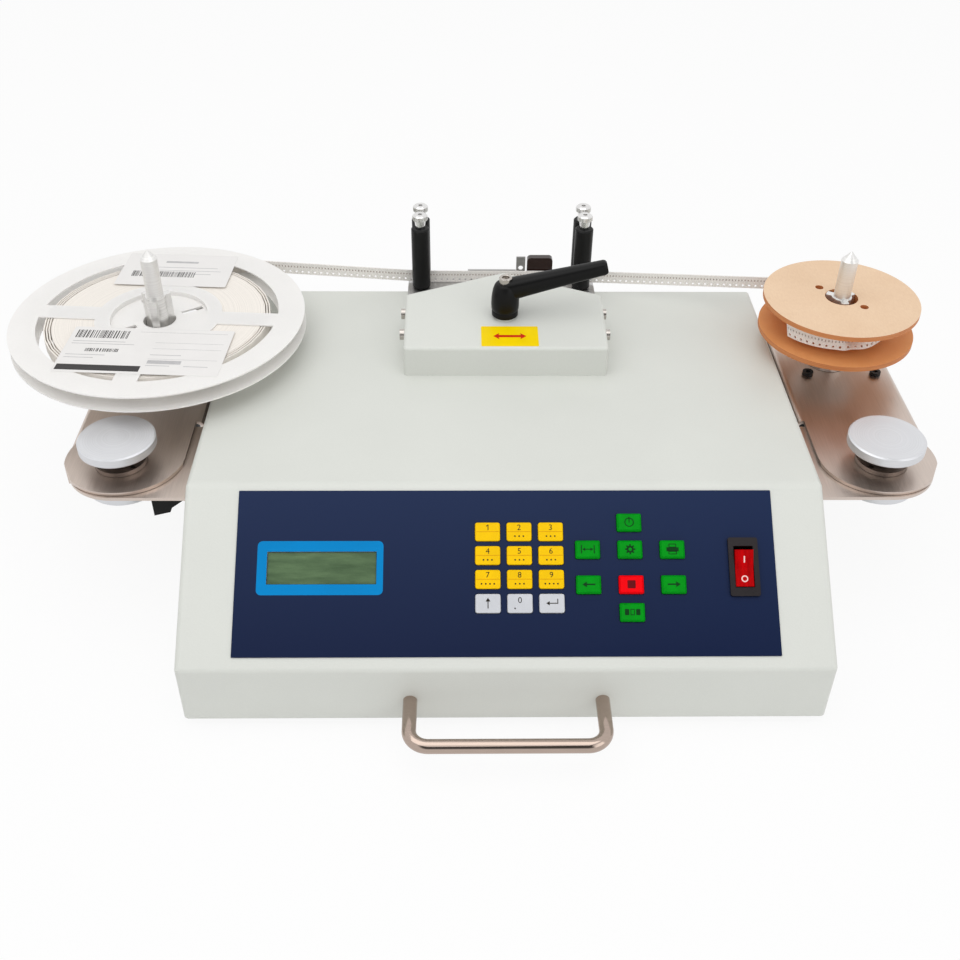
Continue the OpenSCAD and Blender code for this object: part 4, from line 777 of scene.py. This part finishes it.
def make_reel_labels():
    """Two labels with bars and rules; w and l are half a label's width and length."""
    pick = random.Random(7)

    def rear(sheet, w, l):
        bars(sheet, pick, -w + 8, w - 22, -l + 11, -l + 18)
        for k, (a, b) in enumerate(((0.32, 0.86), (0.22, 0.9), (0.3, 0.82))):
            rule(sheet, -w + 2 * w * a, -w + 2 * w * b, l - 17.8 - 4.0 * k, 0.55)
        rule(sheet, -w + 26, w - 24, l - 11.5, 2.2)

    def front(sheet, w, l):
        bars(sheet, pick, -w + 3, -w + 35, l - 12, l - 3.5)
        bars(sheet, pick, -w + 13, -w + 33, -2.4, 1.0)
        sheet.bar(-w + 1.5, -l + 2.2, 2.0, -l + 8.0, *LABEL_INK, INK)
        rule(sheet, -w + 40, w - 3.5, l - 4.2, 0.25)
        for y in (l - 15.4, 2.4, -8.6):
            rule(sheet, 4, w - 3.5, y, 0.25)
        for y, a, b in ((l - 16.0, 3, 34), (l - 18.6, 3, 40), (-6.2, 3, 26), (-9.2, 3, 20), (-4.4, 52, 70),
                        (-15.6, 52, 66), (-15.6, 74, 88)):
            rule(sheet, -w + a, -w + b, y, 0.55)
        sheet.bar(4.5, -13.4, 24.0, -9.8, *LABEL_INK, GREY)

    reel_label("reel_label_rear", (0.6, 56.4), (71.0, 41.0), -3.4, rear)
    reel_label("reel_label_front", (-0.1, -40.3), (95.5, 48.5), -3.3, front)


# ---------------------------------------------------------------- tape

PITCH = 4.0                                           # of the sprocket holes, one to a cell of the tape's mesh
HOLE_U, HOLE_V, HOLE_R = 2.0, 1.75, 0.75
CELL_U = (0.0, 0.65, 1.35, 2.0, 2.65, 3.35, PITCH)    # columns of a cell
CELL_V = (3.5, 4.6, 5.9, TAPE_W)                      # rows of a cell, above the row of the hole
POCKET_U, POCKET_V, POCKET_DEEP = (0.65, 2.65), 4.6, 0.45
POCKET = 1                                            # finish of the pockets' floors
SLANT_FROM = 0.8                                      # share of the length after which a slanted cut tells
HEADING = 0.8                                         # half the length over which the tape's direction is taken
CORNER_SHARE = 0.45                                   # most of a line's leg that a rounded corner takes
TINY = 1e-9
FOLD_AT, FOLD_TURN = 0.755, math.radians(72)          # fold in the loose end, by share of its length
FOLD_AFTER, FOLD_BEFORE = 0.022, 0.07                 # how fast the tape turns upright again past it and before it


def fillet(points, radius, steps=6):
    """Line through the points with its inner corners rounded."""
    out = [Vector(points[0])]
    for a, b, c in zip(points, points[1:], points[2:]):
        a, b, c = Vector(a), Vector(b), Vector(c)
        d0, d1 = (a - b).normalized(), (c - b).normalized()
        reach = min(radius, (a - b).length * CORNER_SHARE, (c - b).length * CORNER_SHARE)
        p, q = b + d0 * reach, b + d1 * reach
        for i in range(steps + 1):
            t = i / steps
            out.append(p * (1 - t) ** 2 + b * 2 * t * (1 - t) + q * t ** 2)
    out.append(Vector(points[-1]))
    return out


class Path:
    """Line by length along it, with the tape's upright direction turned by twist(share)."""

    def __init__(self, points, twist=None):
        self.points = [Vector(p) for p in points]
        self.at = [0.0]
        for a, b in zip(self.points, self.points[1:]):
            self.at.append(self.at[-1] + (b - a).length)
        self.length = self.at[-1]
        self.twist = twist or (lambda t: 0.0)

    def point(self, s):
        s = min(max(s, 0.0), self.length)
        i = max(k for k in range(len(self.at) - 1) if self.at[k] <= s + TINY)
        t = (s - self.at[i]) / max(self.at[i + 1] - self.at[i], TINY)
        return self.points[i].lerp(self.points[i + 1], t)

    def lay(self, s, v, n):
        """v across the tape from its lower edge, n out of its face."""
        along = (self.point(s + HEADING) - self.point(s - HEADING)).normalized()
        level = Vector((along.x, along.y, 0)).normalized()
        up = Vector((0, 0, 1))
        out = up.cross(level)
        turn = self.twist(s / self.length)
        if turn:
            spin = Matrix.Rotation(turn, 3, along)
            up, out = spin @ up, spin @ out
        return self.point(s) + up * (v - TAPE_W / 2) + out * n


def tape_strip(name, path, body, replaces, face=1, slant=0.0):
    """Punched tape: sprocket holes through it and a row of pockets pressed into one face.
    slant shears the last end, for a tape that was cut at an angle."""
    cells = max(1, int(path.length // PITCH))
    k = path.length / (cells * PITCH)
    verts, faces, kinds, seen = [], [], [], {}
    half = TAPE_T / 2

    def at(u, v, n):
        key = (round(u, 3), round(v, 3), round(n, 3))
        if key not in seen:
            seen[key] = len(verts)
            late = max(0.0, u * k / path.length - SLANT_FROM) / (1 - SLANT_FROM)
            verts.append(path.lay(u * k - slant * (1 - v / TAPE_W) * late, v, n))
        return seen[key]

    def quad(points, kind=0):
        faces.append([at(*p) for p in points])
        kinds.append(kind)

    def wall(p, q, high, low):
        quad([(*p, high), (*q, high), (*q, low), (*p, low)])

    top = CELL_V[0]
    sides = [(u, 0.0) for u in CELL_U] + [(PITCH, HOLE_V)] + [(u, top) for u in reversed(CELL_U)] + [(0.0, HOLE_V)]
    angles = [math.atan2(v - HOLE_V, u - HOLE_U) for u, v in sides]
    n = len(sides)
    for c in range(cells):
        x = c * PITCH
        rim = [(x + HOLE_U + HOLE_R * math.cos(a), HOLE_V + HOLE_R * math.sin(a)) for a in angles]
        for level in (half, -half):
            for i in range(n):
                j = (i + 1) % n
                quad([(x + sides[i][0], sides[i][1], level), (x + sides[j][0], sides[j][1], level),
                      (*rim[j], level), (*rim[i], level)])
        for i in range(n):
            wall(rim[i], rim[(i + 1) % n], half, -half)
        for a, b in zip(CELL_U, CELL_U[1:]):
            for v in (0.0, TAPE_W):
                wall((x + a, v), (x + b, v), half, -half)
            for v0, v1 in zip(CELL_V, CELL_V[1:]):
                pocket = v0 == POCKET_V and a in POCKET_U
                ring = [(x + a, v0), (x + b, v0), (x + b, v1), (x + a, v1)]
                for level in (half, -half):
                    if pocket and level == face * half:
                        deep = level - face * POCKET_DEEP
                        for p, q in zip(ring, ring[1:] + ring[:1]):
                            wall(p, q, level, deep)
                        quad([(*p, deep) for p in ring], POCKET)
                    else:
                        quad([(*p, level) for p in ring])
    for u in (0.0, cells * PITCH):
        for v0, v1 in ((0.0, HOLE_V), (HOLE_V, top), *zip(CELL_V, CELL_V[1:])):
            wall((u, v0), (u, v1), half, -half)
    piece(name, verts, faces, ["tape_paper", "tape_pocket"], body, "tape_paper", replaces=replaces, material_of=kinds)


def flat(angle, r):
    """Level vector of length r."""
    return Vector((r * math.cos(angle), r * math.sin(angle), 0))


def tangent(bend, centre, r, side):
    """Angle and length of the line from a bend that touches a circle on the given side."""
    gap = Vector((centre[0] - bend[0], centre[1] - bend[1]))
    return math.atan2(gap.y, gap.x) + side * math.asin(r / gap.length), math.sqrt(gap.length ** 2 - r ** 2)


def chord(outer, inner):
    """Length of a tangent of the inner circle inside the outer one."""
    return math.sqrt(outer ** 2 - inner ** 2)


def make_tapes():
    """Tape from rim to rim behind the head, and the loose end on the take-up reel."""
    left_bend = Vector((HEAD_X + BEND_LEFT, TAPE_Y, TAPE_Z))
    right_bend = Vector((HEAD_X + BEND_RIGHT, TAPE_Y, TAPE_Z))
    left_a, left_run = tangent(left_bend, (-SPIN_X, SPIN_Y), WIND_END, -1)
    right_a, right_run = tangent(right_bend, (SPIN_X, SPIN_Y), CATCH_R, 1)
    left_rim = left_bend + flat(left_a, left_run - chord(SUPPLY_R + RIM_GAP, WIND_END))
    right_rim = right_bend + flat(right_a, right_run - chord(TAKEUP_R + RIM_GAP, CATCH_R))
    left_rim.z, right_rim.z = SUPPLY_TAPE_Z, TAKEUP_TAPE_Z
    tape_strip("tape_span", Path(fillet([left_rim, left_bend, right_bend, right_rim], BEND_R)), "console",
               ["carrier_tape"], face=-1)

    # loose end: round the core and out across the front, with a fold before its cut end
    count = 60
    centre = Vector((SPIN_X, SPIN_Y, TAKEUP_TAPE_Z))
    first = right_a + math.pi / 2
    points = [centre + flat(first, CATCH_R) - flat(right_a, chord(TAKEUP_R - RIM_GAP, CATCH_R))]
    for i in range(count + 1):
        t = i / count
        points.append(centre + flat(first - LOOSE_TURN * t, CATCH_R + (LOOSE_R - CATCH_R) * t ** LOOSE_GROWTH))

    def twist(t):
        return FOLD_TURN * math.exp(-((t - FOLD_AT) / (FOLD_AFTER if t > FOLD_AT else FOLD_BEFORE)) ** 2)
    tape_strip("tape_loose_end", Path(points, twist), "right_drive", ["right_tape"], face=1, slant=2.5)


# ---------------------------------------------------------------- clamp lever

GRIP_TURN, GRIP_TILT = math.radians(3.0), math.radians(13.0)
GRIP_ROOT, GRIP_SQUARE = 0.78, 0.7                    # share of the hub's height, and 1 for round sections
GRIP = (                                              # reach along the arm, half height, half width
    (0, 6.4, 6.3), (6, 6.3, 6.1), (14, 5.9, 5.7), (26, 5.4, 5.2), (40, 4.9, 4.7), (52, 4.5, 4.4),
    (60.6, 4.3, 4.2), (61.8, 3.9, 3.8), (62.5, 3.1, 3.0),
)
HUB = (                                               # inwards from the hub's radius, share of its height
    (1.0, 0), (0.5, 0.5 / LEVER_H), (0.5, 0.17), (0.7, 0.185), (0.2, 0.225), (0.05, 0.32), (0, 0.42), (0.12, 0.54),
    (0.45, 0.68), (1.0, 0.81), (1.8, 0.92), (2.6, 0.98), (3.4, 1),
)
SCREW = (                                             # radius, height over the hub; it has a round socket
    (3.0, -0.6), (3.9, -0.6), (3.9, 3.5), (3.6, 3.9), (2.5, 4.0), (2.2, 3.7), (2.2, 2.0), (0.01, 2.0),
)
STUD = ((4.0, -30.7), (4.0, 0.3))                     # radius, height over the hub's foot


def grip_sections(n=32):
    """Rings of the lever's arm, with flattened sides like a moulded grip."""
    along = Vector((math.cos(GRIP_TILT) * math.cos(GRIP_TURN), math.cos(GRIP_TILT) * math.sin(GRIP_TURN),
                    math.sin(GRIP_TILT)))
    side = Vector((-math.sin(GRIP_TURN), math.cos(GRIP_TURN), 0))
    up = along.cross(side)
    root = Vector((0, 0, LEVER_H * GRIP_ROOT))
    for reach, high, wide in GRIP:
        ring = []
        for c, s in circle(0, 0, 1.0, n):
            u = math.copysign(abs(c) ** GRIP_SQUARE, c) * wide
            v = math.copysign(abs(s) ** GRIP_SQUARE, s) * high
            ring.append(root + along * reach + side * u + up * v)
        yield ring


def make_lever():
    axis = Vector((HEAD_X, LEVER_Y, LEVER_Z))

    def stand(name, verts, faces, look, smooth, replaces=()):
        piece(name, [v + axis for v in verts], faces, [look], "lever", look, replaces=replaces, smooth=smooth)

    verts, faces = lathe([(LEVER_D / 2 - inset, LEVER_H * share) for inset, share in HUB], n=48)
    arm_verts, arm_faces = loft(list(grip_sections()))
    faces += [[len(verts) + i for i in f] for f in arm_faces]
    stand("lever_body", verts + arm_verts, faces, "black_plastic", smooth=38, replaces=["clamp_lever"])
    stand("lever_screw", *lathe([(r, LEVER_H + z) for r, z in SCREW], n=36), "bright_screws", smooth=30)
    stand("lever_stud", *lathe(STUD, n=32), "bright_screws", smooth=30)


# ---------------------------------------------------------------- scene

make_camera()
make_world()
for lamp_row in LAMPS:
    add_lamp(*lamp_row)
make_floor()
make_finishes()
dress_nodes()
paint_details()
make_display_frame()
make_number_keys()
make_function_keys()
make_rocker_marks()
make_head_label()
make_reel_labels()
make_tapes()
make_lever()

bpy.context.scene.view_settings.view_transform = "Standard"
